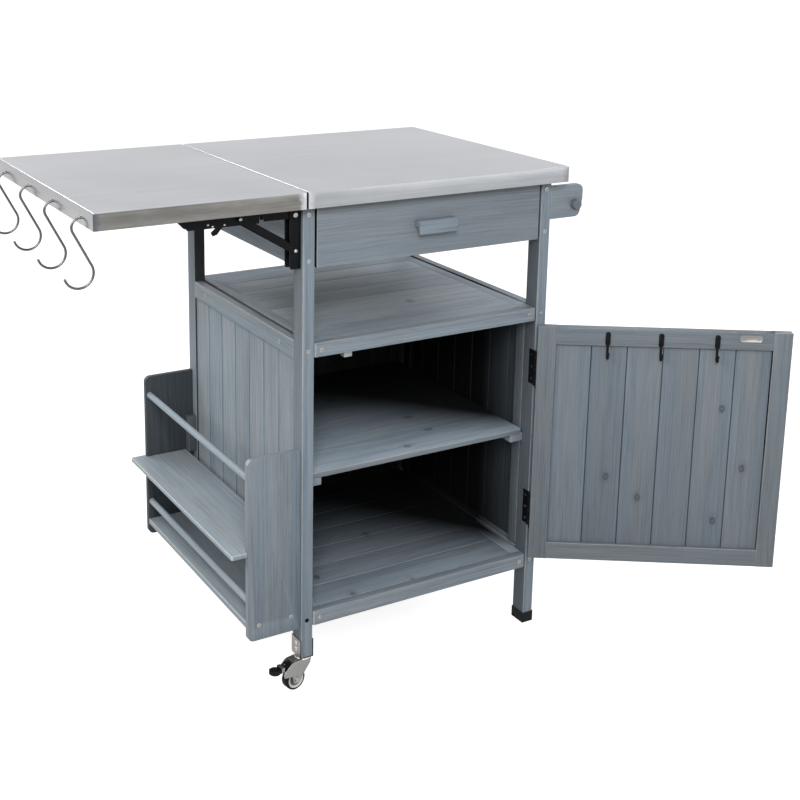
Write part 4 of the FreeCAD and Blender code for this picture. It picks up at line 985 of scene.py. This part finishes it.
class GRILLCART_OT_door(bpy.types.Operator):
    """Stains the door, coats its hinges' leaves and fits its pull, coat hooks, strike and catch"""

    bl_idname = "grill_cart.door"
    bl_label = "Finish the door"

    def execute(self, context):
        # The door's low shades are painted shade on its frame and planks.
        stain("door_frame", "Z", (-0.5, -0.1, 0), "door", THICK_EDGE, door=True, knots=0.0, contrast=0.9,
              swap=("X", *STILE_INNER, "X"), shade=0.63)
        knots = [(-away / 1000, 0.0165, z / 1000)
                 for away, z in ((338, 454), (382, 340), (337, 235), (137, 315), (197, 276))]
        stain("door_planks", "Z", (STILE_INNER[0], -0.2, 0), "door", PLANK_EDGE, door=True,
              board=(DOOR_PLANK, ONE_PIECE), knots=0.0, contrast=0.8, shade=0.67, worn=0.0, groove=1.0,
              spots=knots)
        stain("door_pull", "Z", body="door", knots=0.0, worn=0.0, **PULL_EDGE)
        for name in ("door_hinge_leaves", "leg_hinge_leaves"):
            finish_node(name, black_coat())
        add_door_hooks()
        add_strike()
        add_catch()
        return {"FINISHED"}


def add_door_hooks():
    """Coat hooks: a rounded back plate with two screws, and a bent prong with a ball at its tip."""
    low, high = box("door_hooks")
    drop = low.z - high.z
    half_width, plate_height, plate_depth = 0.0045, 0.026, 0.0018
    plate = block("door_hook_plate", (-half_width, 0, -plate_height), (half_width, plate_depth, 0))
    edit(plate)
    pick_edges(plate, lambda middle, way: abs(way.y) > 0.9)
    bpy.ops.mesh.bevel(offset=half_width - 0.0002, segments=6)
    leave_edit()
    bevel(plate, STEEL_EDGE, 2, 50)
    bend = ((0.0016, -0.018), (0.0022, -0.030), (0.0016, drop + 0.005), (0.0030, drop + 0.0012),
            (0.0075, drop + 0.001), (0.0105, drop + 0.003), (0.0106, drop + 0.009))
    prong = wire("door_hook_prong", [(0, y, z) for y, z in bend], 0.0022)
    ball = round_ball("door_hook_ball", 0.0030, (0, 0.0098, drop + 0.0105), 20)
    heads = [moved(screw_head("hook_screw"), shift(0, 0.0016, z) @ BACKWARDS @ Matrix.Scale(0.55, 4))
             for z in (-0.0045, -0.0135)]
    model = smooth(join("door_hook_model", [plate, prong, ball] + heads), 40)
    for i, share in enumerate(HOOK_SHARES, start=1):
        hook = copy_of(model, DOOR @ shift(-DOOR_WIDE * share, FACE, high.z))
        hook.name = "door_hook_%d" % i
        dress(hook, black_coat(), "door", "door_hooks")
    bpy.data.objects.remove(model)


def add_strike():
    """Pressed strike plate on the door, with rounded ends and two screws."""
    high = box("strike_plate")[1].z
    half_length, depth, height = 0.020, 0.0015, 0.013
    strike = block("strike_plate_pressed", (-half_length, FACE, high - height),
                   (half_length, FACE + depth, high))
    edit(strike)
    pick_edges(strike, lambda middle, way: abs(way.y) > 0.9)
    bpy.ops.mesh.bevel(offset=0.005, segments=6)
    pick_faces(strike, lambda middle, normal: normal.y > 0.9)
    bpy.ops.mesh.inset(thickness=0.0016)
    bpy.ops.mesh.inset(thickness=0.0006, depth=-0.0005)
    leave_edit()
    bevel(strike, THIN_EDGE, 2, 50)
    heads = [moved(screw_head("strike_screw"), shift(x, FACE + 0.0010, high - height / 2)
                   @ BACKWARDS @ Matrix.Scale(0.75, 4)) for x in (-0.0125, 0.0125)]
    strike = join("strike_plate_pressed", [strike] + heads)
    moved(smooth(strike, 40), DOOR @ shift(-DOOR_WIDE * STRIKE_SHARE, 0, 0))
    strike_steel = metal("Strike steel", (0.30, 0.30, 0.29), 0.35, 1.0)
    dress(strike, strike_steel, "door", "strike_plate")


def add_catch():
    """Magnetic catch that the strike plate meets: a pale body with two steel lips."""
    low, high = box("door_catch")
    body = smooth(bevel(block("catch_body", low, high), 0.0012, 3, 50), 40)
    plastic = coated("Pale plastic", (0.55, 0.56, 0.55), 1500.0, (0.4, 0.55), 0.1)
    dress(body, plastic, "cart", "door_catch")
    lips = [block("catch_lip", (x, low.y - 0.0003, low.z + 0.002), (x + 0.0015, low.y + 0.003, low.z + 0.010))
            for x in (low.x + 0.004, high.x - 0.0055)]
    magnet = bevel(join("catch_magnet", lips), THIN_EDGE, 2)
    dress(magnet, zinc(), "cart", "door_catch")


# Painted highlight at the trays' corners, also standing for bright ground welds.
BRIGHT_STEEL = (0.80, 0.82, 0.86)
HOOK_HOLES = (58, 194, 330, 466)


class GRILLCART_OT_worktop(bpy.types.Operator):
    """Folds the two steel trays and pierces the leaf's end rim for the hooks"""

    bl_idname = "grill_cart.worktop"
    bl_label = "Fold the steel tops"

    def execute(self, context):
        # Each rim's tone is painted reflection and shade, and its corner strips painted highlight and shade.
        worktop = {"front": (0.56, 0.58, 0.61), "end": (0.34, 0.34, 0.35), "left": BRIGHT_STEEL,
                   "right": (0.40, 0.41, 0.42)}
        leaf = {"front": (0.31, 0.305, 0.29), "end": (0.66, 0.66, 0.68), "left": (0.18, 0.20, 0.23),
                "right": BRIGHT_STEEL}
        for name, body, tones, streaky in (("worktop_skin", "cart", worktop, 0.35),
                                           ("leaf_skin", "side_leaf", leaf, 1.0)):
            low, high = box(name)
            piece = folded_tray(name + "_folded", low, high)
            if name == "leaf_skin":
                spots = [(low.x, at(0, y, 0).y, high.z - 0.017) for y in HOOK_HOLES]
                cut_away(piece, [round_bar("hook_hole", 0.0032, 0.006, spot, "X") for spot in spots])
            steel = tray_steel("Steel " + name, low, high, tones, streaky)
            dress(smooth(piece), steel, body, name)
        return {"FINISHED"}


def folded_tray(name, low, high):
    """Tray open below, round at its folds, with the sheet's thickness."""
    piece = block(name, low, high)
    edit(piece)
    pick_faces(piece, lambda middle, normal: normal.z < -0.9)
    bpy.ops.mesh.delete(type="FACE")
    leave_edit()
    bevel(piece, settings().fold_radius, 5, 50)
    return modify(piece, "SOLIDIFY", thickness=settings().sheet, offset=-1, use_even_offset=True)


# Folding brackets, in millimetres: the front face of each pair's front web, its rivets and the screws
WEBS = (("front", 33), ("rear", 482))
WEB_RIVETS = (("lever", -130, 843), ("arm_first", -158, 845.5), ("arm_second", -150, 842))
ARM_SCREWS = ((-176, 42.5), (-92, 42.5), (-176, 484.5), (-92, 484.5))

# Bar outside each brace: its half width, and its gap and depth in front of the web
BRACE_HALF_WIDTH = 0.0056
BAR_GAP, BAR_DEPTH = 0.0004, 0.0022


class GRILLCART_OT_brackets(bpy.types.Operator):
    """Coats the folding brackets, eases their edges and rivets them"""

    bl_idname = "grill_cart.brackets"
    bl_label = "Finish the folding brackets"

    def execute(self, context):
        for name, body in (("bracket_channels", "cart"), ("bracket_arms", "side_leaf"),
                           ("lever_front", "lever_front"), ("lever_rear", "lever_rear")):
            ease_node(name, black_coat(), body, STEEL_EDGE, angle=40)
        for end, face in WEBS:
            add_brace(end, face)
            for label, x, z in WEB_RIVETS:
                add_rivet("%s_%s_rivet" % (label, end), at(x, face + 1.6, z), 0.0024, "side_leaf")
        for i, (x, y) in enumerate(ARM_SCREWS, start=1):
            screw = moved(screw_head("arm_screw_%d" % i),
                          shift(*at(x, y, 860.3)) @ Matrix.Rotation(math.pi, 4, "X"))
            dress(screw, zinc(), "side_leaf")
        return {"FINISHED"}


def add_brace(end, face):
    """Brace between the webs, with a flat bar outside the front web and a rivet at each end."""
    inner = softened("brace_" + end, STEEL_EDGE, 2, 40)
    foot, tip = at(-7, face, 788), at(-104, face, 850)
    way = (tip - foot).normalized() * BRACE_HALF_WIDTH
    side = Vector((-way.z, 0, way.x))
    outline = []
    for spot, along in ((foot, -1), (tip, 1)):
        for turn in range(7):
            angle = math.pi * (turn / 6 - 0.5) * along
            point = spot + way * math.cos(angle) * along + side * math.sin(angle)
            outline.append((point.x, point.z))
    bar = bevel(cut_plate("brace_bar_" + end, outline, foot.y - BAR_DEPTH, foot.y - BAR_GAP),
                STEEL_EDGE, 2)
    pin = round_bar("brace_pin_" + end, 0.0022, 0.008, (tip.x, tip.y + 0.0035, tip.z), "Y", 20)
    piece = smooth(join("brace_%s_riveted" % end, [inner, bar, pin]))
    dress(piece, black_coat(), "brace_" + end, "brace_" + end)
    for spot, label in ((foot, "foot"), (tip, "tip")):
        add_rivet("brace_%s_%s_rivet" % (end, label), spot - Vector((0, BAR_DEPTH, 0)), 0.0036,
                  "brace_" + end)


def add_rivet(name, spot, radius, body):
    """Domed rivet head whose flat side faces back along Y."""
    cut = radius * 0.35
    head = round_ball(name, radius, (0, 0, 0), 24)
    edit(head)
    bpy.ops.mesh.select_all(action="SELECT")
    bpy.ops.mesh.bisect(plane_co=(0, 0, cut), plane_no=(0, 0, 1), use_fill=True, clear_inner=True)
    leave_edit()
    moved(head, shift(*spot) @ Matrix.Rotation(math.pi / 2, 4, "X") @ shift(0, 0, -cut))
    return dress(smooth(head, 50), zinc(), body)


# A screw's head: its height, the depth of its cross, and in shares of its radius the cross's reach
# and half width, the rim, and how far the middle is raised
HEAD_HEIGHT = 0.0014
HEAD_SIDES = 28
CROSS_DEPTH = 0.0009
CROSS_REACH = 0.58
CROSS_HALF_WIDTH = 0.17
RIM = 0.22
RAISED = 0.07


def screw_head(name):
    """Countersunk head with a cross recess, facing up, with its face at the origin."""
    radius = settings().screw_radius
    head = round_bar(name, radius, HEAD_HEIGHT, (0, 0, -0.0004), sides=HEAD_SIDES)
    edit(head)
    pick_faces(head, lambda middle, normal: normal.z > 0.9)
    bpy.ops.mesh.inset(thickness=radius * RIM)
    bpy.ops.transform.translate(value=(0, 0, radius * RAISED))
    leave_edit()
    long, wide = radius * CROSS_REACH, radius * CROSS_HALF_WIDTH
    recess = [block("recess", (-x, -y, -CROSS_DEPTH), (x, y, 0.0011))
              for x, y in ((long, wide), (wide, long))]
    return smooth(cut_away(head, recess), 30)


# What tells the fasteners apart: rivets are longer than any screw, and the casters' screws are black
RIVET_LENGTH = 0.015
CASTER_SCREW_HEIGHT = 0.14

# Caps on the rivets' ends
CAP_RADIUS = 0.0043
CAP_HEIGHT = 0.0013


class GRILLCART_OT_screws(bpy.types.Operator):
    """Drives a cross-head screw into each seat, and closes the brackets' rivets"""

    bl_idname = "grill_cart.screws"
    bl_label = "Drive the screws"

    def execute(self, context):
        model = screw_head("screw_model")
        bright, dark, count = [], [], 0
        for points in islands("frame_fasteners"):
            low, high = corners(points)
            size = high - low
            way = max(range(3), key=lambda i: size[i])
            middle = (low + high) / 2
            if size[way] > RIVET_LENGTH:
                for side, end in ((-1, low), (1, high)):
                    count += 1
                    middle[way] = end[way]
                    turn = Matrix.Rotation(math.pi / 2 * -side, 4, "X")
                    bright.append(rivet_cap("bracket_rivet_%d" % count, shift(*middle) @ turn))
                continue
            head_low = head_side(points, way, low, middle)
            middle[way] = low[way] if head_low else high[way]
            outward = Vector((0, 0, 0))
            outward[way] = -1 if head_low else 1
            turn = outward.to_track_quat("Z", "Y").to_matrix().to_4x4()
            twist = Matrix.Rotation(0.7 * len(bright) + 0.4, 4, "Z")
            head = copy_of(model, shift(*middle) @ turn @ twist)
            at_leg = at(0, 0, 0).x < middle.x < at(22, 0, 0).x
            blackened = at_leg and way == 1 and middle.z < CASTER_SCREW_HEIGHT
            (dark if blackened else bright).append(head)
        bpy.data.objects.remove(model)
        for name, heads, material in (("screw_heads", bright, zinc()),
                                      ("screw_heads_black", dark, black_coat())):
            if heads:
                dress(join(name, heads), material, "cart", "frame_fasteners")
        add_hinge_screws()
        return {"FINISHED"}


def head_side(points, way, low, middle):
    """True where the wide head is at the low end."""
    def reach(chosen):
        return max((sum((p[i] - middle[i]) ** 2 for i in range(3) if i != way) for p in chosen), default=0)
    at_low = [p for p in points if p[way] - low[way] < 0.0008]
    at_high = [p for p in points if p[way] - low[way] > 0.006]
    return reach(at_low) > reach(at_high)


def rivet_cap(name, matrix):
    """Low domed cap over a rivet's end, with its flat side at the origin."""
    cap = round_bar(name, CAP_RADIUS, CAP_HEIGHT, (0, 0, 0.0003), sides=HEAD_SIDES)
    edit(cap)
    pick_faces(cap, lambda middle, normal: normal.z > 0.9)
    bpy.ops.mesh.bevel(offset=0.0009, segments=3)
    leave_edit()
    return moved(smooth(cap, 50), matrix)


def add_hinge_screws():
    """Three countersunk screws in each hinge leaf, just proud of its face."""
    from_pin, proud, pitch, size = 0.0107, 0.0006, 0.023, Matrix.Scale(0.72, 4)
    model = screw_head("hinge_screw_model")
    heights = [hinge + lift for hinge in (0.515, 0.239) for lift in (-pitch, 0, pitch)]
    for name, body, base, side in (("hinge_screws_leg", "cart", Matrix.Translation(PIN), 1),
                                   ("hinge_screws_door", "door", DOOR, -1)):
        turn = Matrix.Rotation(-side * math.pi / 2, 4, "Y") @ size
        heads = [copy_of(model, base @ shift(side * proud, from_pin, z) @ turn) for z in heights]
        dress(join(name, heads), zinc(), body)
    bpy.data.objects.remove(model)


class GRILLCART_OT_hooks(bpy.types.Operator):
    """Polishes the bent wire hooks and smooths their shading"""

    bl_idname = "grill_cart.hooks"
    bl_label = "Polish the wire hooks"

    def execute(self, context):
        wire_steel = metal("Hook wire", (0.14, 0.14, 0.145), 0.3, 0.1, (0, 1.5, 0), 0.0)
        for i in range(1, 5):
            hook = softened("hook_%d" % i, 0.00001, 1, 80)
            dress(smooth(hook, 75), wire_steel, "hook_%d" % i)
        return {"FINISHED"}


class GRILLCART_OT_casters(bpy.types.Operator):
    """Moulds the tyres, wheels and pedals, and bolts the forks"""

    bl_idname = "grill_cart.casters"
    bl_label = "Finish the casters and feet"

    def execute(self, context):
        for end in CASTERS:
            ease_node("caster_fork_" + end, stainless(), "caster_" + end, STEEL_EDGE, angle=35)
            add_tyre(end)
            finish_node("caster_wheel_" + end, wheel_material(end))
            add_axle_nuts(end)
            add_pedal(end)
            add_clip(end)
            add_race(end)
        finish_node("caster_saddles", saddle_steel())
        add_saddle_screws()
        finish_node("rubber_feet", coated("Foot rubber", (0.007, 0.0075, 0.008), 700.0, (0.5, 0.7), 0.02,
                                          0.15))
        return {"FINISHED"}


# Casters, counted from the floor under the swivel: their axles, tyres, hubs and ball races
WHEEL_CENTRE = Vector((0.020, 0, 0.020))
TYRE_RADIUS = 0.0199
TYRE_HALF_WIDTH = 0.0084
HUB_RADIUS = 0.0161
TYRE_ROUNDING = 0.0026
PALE_RING = (0.0120, 0.0162)
RING_BLUR = 0.0004
RACE_RADIUS = 0.0141
RACE_HEIGHT = 0.0042
RACE_MIDDLE = (0, 0, 0.0550)


def add_tyre(end):
    """Rounded rubber tyre."""
    tyre = round_bar("tyre_" + end, TYRE_RADIUS, TYRE_HALF_WIDTH * 2, WHEEL_CENTRE, "Y", 72)
    cut_away(tyre, [round_bar("tyre_bore", HUB_RADIUS, 0.03, WHEEL_CENTRE, "Y", 72)])
    edit(tyre)
    pick_edges(tyre, lambda middle, way: (middle - WHEEL_CENTRE).xz.length > 0.0185
               and abs(abs(middle.y) - TYRE_HALF_WIDTH) < 0.0002)
    bpy.ops.mesh.bevel(offset=TYRE_ROUNDING, segments=5)
    leave_edit()
    moved(smooth(tyre, 40), CASTERS[end])
    dress(tyre, tyre_rubber(), "wheel_" + end, "caster_tyre_" + end)


def wheel_material(end):
    """Pale ring round a dark grey moulded hub."""
    material, tree, principled = new_material("Wheel " + end)
    spot = object_spot(tree)
    centre = CASTERS[end] @ WHEEL_CENTRE
    axle = CASTERS[end].to_3x3() @ Vector((0, 1, 0))
    away = length(reckon("CROSS_PRODUCT", spot - tuple(centre), tuple(axle)))
    effect = use_group(tree, speckle, {"Vector": spot, "Base": (0.07, 0.072, 0.075, 1), "Size": 1500.0,
                                       "Gloss low": 0.35, "Gloss high": 0.5, "Dust": 0.15})
    low, high = PALE_RING
    ring = remap(away, low, low + RING_BLUR) * remap(away, high, high - RING_BLUR)
    lay_on(principled, effect, 0.00004, blend(ring, effect["Color"], (0.62, 0.62, 0.61)))
    return material


def saddle_steel():
    """Brushed sheet, painted near black on its faces that look along Y."""
    material = metal("Saddle steel", (0.36, 0.35, 0.33), 0.3, 0.9, (0, 1.5708, 0))
    principled = material.node_tree.nodes["Principled BSDF"]
    sheet = Flow(principled.inputs["Base Color"].links[0].from_socket)
    edge = remap(part(facing(material.node_tree), "Y"), 0.7, 0.9)
    connect(principled, {"Base Color": blend(edge, sheet, (0.012, 0.012, 0.013))})
    return material


def add_race(end):
    """Polished ball race between the fork and its saddle."""
    race = round_bar("swivel_race_" + end, RACE_RADIUS, RACE_HEIGHT, RACE_MIDDLE, "Z", 64)
    moved(smooth(bevel(race, 0.0016, 4, 50), 40), CASTERS[end])
    polished = metal("Race steel " + end, (0.82, 0.82, 0.80), 0.18, 0.3)
    dress(race, polished, "caster_" + end)


def add_axle_nuts(end):
    """Hexagon nut and washer on each end of the axle."""
    pieces = []
    for side in (-1, 1):
        washer, nut = (WHEEL_CENTRE + Vector((0, side * away, 0)) for away in (0.0114, 0.0128))
        pieces.append(round_bar("axle_washer", 0.0055, 0.0006, washer, "Y"))
        pieces.append(bevel(round_bar("axle_nut", 0.0042, 0.0022, nut, "Y", 6), SMALL_EDGE, 2))
    nuts = moved(join("axle_nuts_" + end, pieces), CASTERS[end])
    dress(nuts, zinc(), "caster_" + end)


# Pedals: the arm seen from the side, the toe's disc and its ribs
PEDAL_ARM = ((0.025, 0.0505), (0.034, 0.0525), (0.043, 0.0500), (0.052, 0.0480),
             (0.052, 0.0405), (0.044, 0.0415), (0.034, 0.0430), (0.025, 0.0440))
PEDAL_HALF_WIDTH = 0.0072
TOE_RADIUS = 0.0098
RIB_COUNT = 7
RIB_PITCH = 0.0022


def add_pedal(end):
    """Black pedal with ribs across its toe."""
    arm = cut_plate("pedal_arm_" + end, PEDAL_ARM, -PEDAL_HALF_WIDTH, PEDAL_HALF_WIDTH)
    toe = bevel(round_bar("pedal_toe_" + end, TOE_RADIUS, 0.0088, (0, 0, 0), "Z", 48), 0.0022, 4, 50)
    tilt = shift(0.0595, 0, 0.0455) @ Matrix.Rotation(math.radians(-5), 4, "Y")
    pieces = [bevel(arm, 0.0014, 3, 25), moved(toe, tilt @ Matrix.Diagonal((1.05, 1.0, 1.0, 1.0)))]
    for i in range(RIB_COUNT):
        y = (i - RIB_COUNT // 2) * RIB_PITCH
        reach = 1.03 * math.sqrt(TOE_RADIUS ** 2 - y ** 2)
        rib = block("rib", (-0.3 * reach, y - 0.0006, -0.0032), (reach + 0.0004, y + 0.0006, 0.0047))
        pieces.append(moved(bevel(rib, SMALL_EDGE, 2), tilt))
    pedal = moved(smooth(join("pedal_moulded_" + end, pieces)), CASTERS[end])
    dress(pedal, black_plastic(), "pedal_" + end, "caster_pedal_" + end)


def add_clip(end):
    """Bright spring clip round the pedal's arm, and the stud behind it."""
    clip = block("pedal_clip_" + end, (0.0440, -0.0080, 0.0420), (0.0500, 0.0080, 0.0510))
    hollow = block("clip_hollow", (0.04, -0.0074, 0.0300), (0.06, 0.0074, 0.0504))
    clip = bevel(cut_away(clip, [hollow]), STEEL_EDGE, 2)
    stud = round_bar("clip_stud", 0.0016, 0.0012, (0.039, 0, 0.0518), "Z", 20)
    clip = moved(join("pedal_clip_" + end, [clip, bevel(stud, STEEL_EDGE, 2)]), CASTERS[end])
    dress(clip, stainless(), "pedal_" + end)


def add_saddle_screws():
    """Two screws through each cheek of the casters' saddles."""
    model = screw_head("saddle_screw_model")
    heads = [copy_of(model, shift(*at(x, y, z)) @ Matrix.Rotation(turn * math.pi / 2, 4, "Y"))
             for y in (42.5, 491.5) for z in (83, 72) for x, turn in ((1.4, -1), (26.6, 1))]
    bpy.data.objects.remove(model)
    bright_zinc = metal("Bright zinc", (0.85, 0.85, 0.83), 0.2, 0.3)
    dress(join("saddle_screws", heads), bright_zinc, "cart")


class GRILLCART_OT_stage(bpy.types.Operator):
    """Sets the pale floor, the soft lights and the camera"""

    bl_idname = "grill_cart.stage"
    bl_label = "Set the stage"

    def execute(self, context):
        add_floor()
        add_world()
        add_lamps()
        add_camera()
        return {"FINISHED"}


WHITE = (1, 1, 1)


def add_floor():
    """White to the camera, and shaded where the cart stands in the light."""
    deselect()
    bpy.ops.mesh.primitive_plane_add(size=60, location=(0, 0, -0.0005))
    floor = bpy.context.object
    floor.name = "floor"
    material, tree, principled = new_material("Pale floor")
    rays = add_node(tree, "LightPath")
    seen, mirrored = (Flow(rays.outputs[name]) for name in ("Is Camera Ray", "Is Glossy Ray"))
    connect(principled, {"Roughness": 0.9, "Specular IOR Level": 0.1, "Base Color": (0.42, 0.42, 0.42, 1),
                         "Emission Color": (*WHITE, 1), "Emission Strength": seen * 0.86 + mirrored * 0.45})
    floor.data.materials.append(material)


def add_world():
    """White to the camera and to reflections, and softer as a light."""
    world = bpy.data.worlds.new("Studio")
    bpy.context.scene.world = world
    world.use_nodes = True
    rays = add_node(world.node_tree, "LightPath")
    camera, mirrored, through = (Flow(rays.outputs[name]) for name in (
        "Is Camera Ray", "Is Glossy Ray", "Is Transmission Ray"))
    seen = most(camera, most(mirrored, through))
    background = world.node_tree.nodes["Background"]
    connect(background, {"Color": (*WHITE, 1), "Strength": remap(seen, 0.0, 1.0, 0.40, 1.0)})


# Name, place, height of the spot it looks at, size in metres, power in watts and colour
LAMPS = (
    ("key", (-1.5, -2.8, 2.4), 0.45, 1.2, 76, WHITE),
    ("side", (-2.9, -0.2, 2.4), 0.4, 1.6, 62, (1, 0.95, 0.85)),
    ("fill", (1.8, -2.6, 1.6), 0.4, 2.0, 10, WHITE),
    ("right", (2.8, 0.5, 2.3), 0.4, 1.2, 40, WHITE),
    ("back", (-1.2, 2.8, 2.3), 0.4, 1.2, 32, WHITE),
    ("top", (0.4, 1.2, 4.0), 0.4, 4.0, 28, WHITE))


def add_lamps():
    for name, spot, height, size, power, colour in LAMPS:
        deselect()
        bpy.ops.object.light_add(type="AREA", location=spot)
        lamp = bpy.context.object
        lamp.name = name
        lamp.data.size = size
        lamp.data.energy = power
        lamp.data.color = colour
        lamp.rotation_euler = (Vector((0, 0, height)) - Vector(spot)).to_track_quat("-Z", "Y").to_euler()


IMAGE_WIDTH = 800
SENSOR_WIDTH = 36
CAMERA_SPOT = (-1.1830, -1.9223, 1.2961)
CAMERA_TURN = -29.504
CAMERA_PITCH = 12.829
CAMERA_ROLL = 0.649
CAMERA_FOCUS = 1305.9
VIEW_CENTRE = (345, 225)


def add_camera():
    """Camera at the photograph's viewing angle, fitted to the cart's corners."""
    deselect()
    bpy.ops.object.camera_add(location=CAMERA_SPOT)
    camera = bpy.context.object
    turn, pitch, roll = (math.radians(angle) for angle in (CAMERA_TURN, CAMERA_PITCH, CAMERA_ROLL))
    aim = Matrix.Rotation(turn, 3, "Z") @ Matrix.Rotation(math.pi / 2 - pitch, 3, "X")
    camera.rotation_euler = (aim @ Matrix.Rotation(roll, 3, "Z")).to_euler()
    camera.data.sensor_width = SENSOR_WIDTH
    camera.data.lens = CAMERA_FOCUS / IMAGE_WIDTH * SENSOR_WIDTH
    camera.data.shift_x = (IMAGE_WIDTH / 2 - VIEW_CENTRE[0]) / IMAGE_WIDTH
    camera.data.shift_y = (VIEW_CENTRE[1] - IMAGE_WIDTH / 2) / IMAGE_WIDTH
    bpy.context.scene.camera = camera
    bpy.context.scene.view_settings.view_transform = "Standard"


class GRILLCART_PT_panel(bpy.types.Panel):
    """Lists the cart's finishes and steps"""

    bl_label = "Grill Cart"
    bl_idname = "GRILLCART_PT_panel"
    bl_space_type = "VIEW_3D"
    bl_region_type = "UI"
    bl_category = "Grill Cart"

    def draw(self, context):
        layout = self.layout
        for name in GrillCartSettings.__annotations__:
            layout.prop(context.scene.grill_cart, name)
        for step in STEPS:
            layout.operator(step.bl_idname)


STEPS = (GRILLCART_OT_boards, GRILLCART_OT_panels, GRILLCART_OT_rack, GRILLCART_OT_drawer,
         GRILLCART_OT_door, GRILLCART_OT_worktop, GRILLCART_OT_brackets, GRILLCART_OT_screws,
         GRILLCART_OT_hooks, GRILLCART_OT_casters, GRILLCART_OT_stage)
CLASSES = (GrillCartSettings, *STEPS, GRILLCART_PT_panel)


def register():
    for item in CLASSES:
        bpy.utils.register_class(item)
    bpy.types.Scene.grill_cart = bpy.props.PointerProperty(type=GrillCartSettings)


def unregister():
    del bpy.types.Scene.grill_cart
    for item in reversed(CLASSES):
        bpy.utils.unregister_class(item)


def main():
    register()
    for step in STEPS:
        group, name = step.bl_idname.split(".")
        getattr(getattr(bpy.ops, group), name)()


if __name__ == "__main__":
    main()
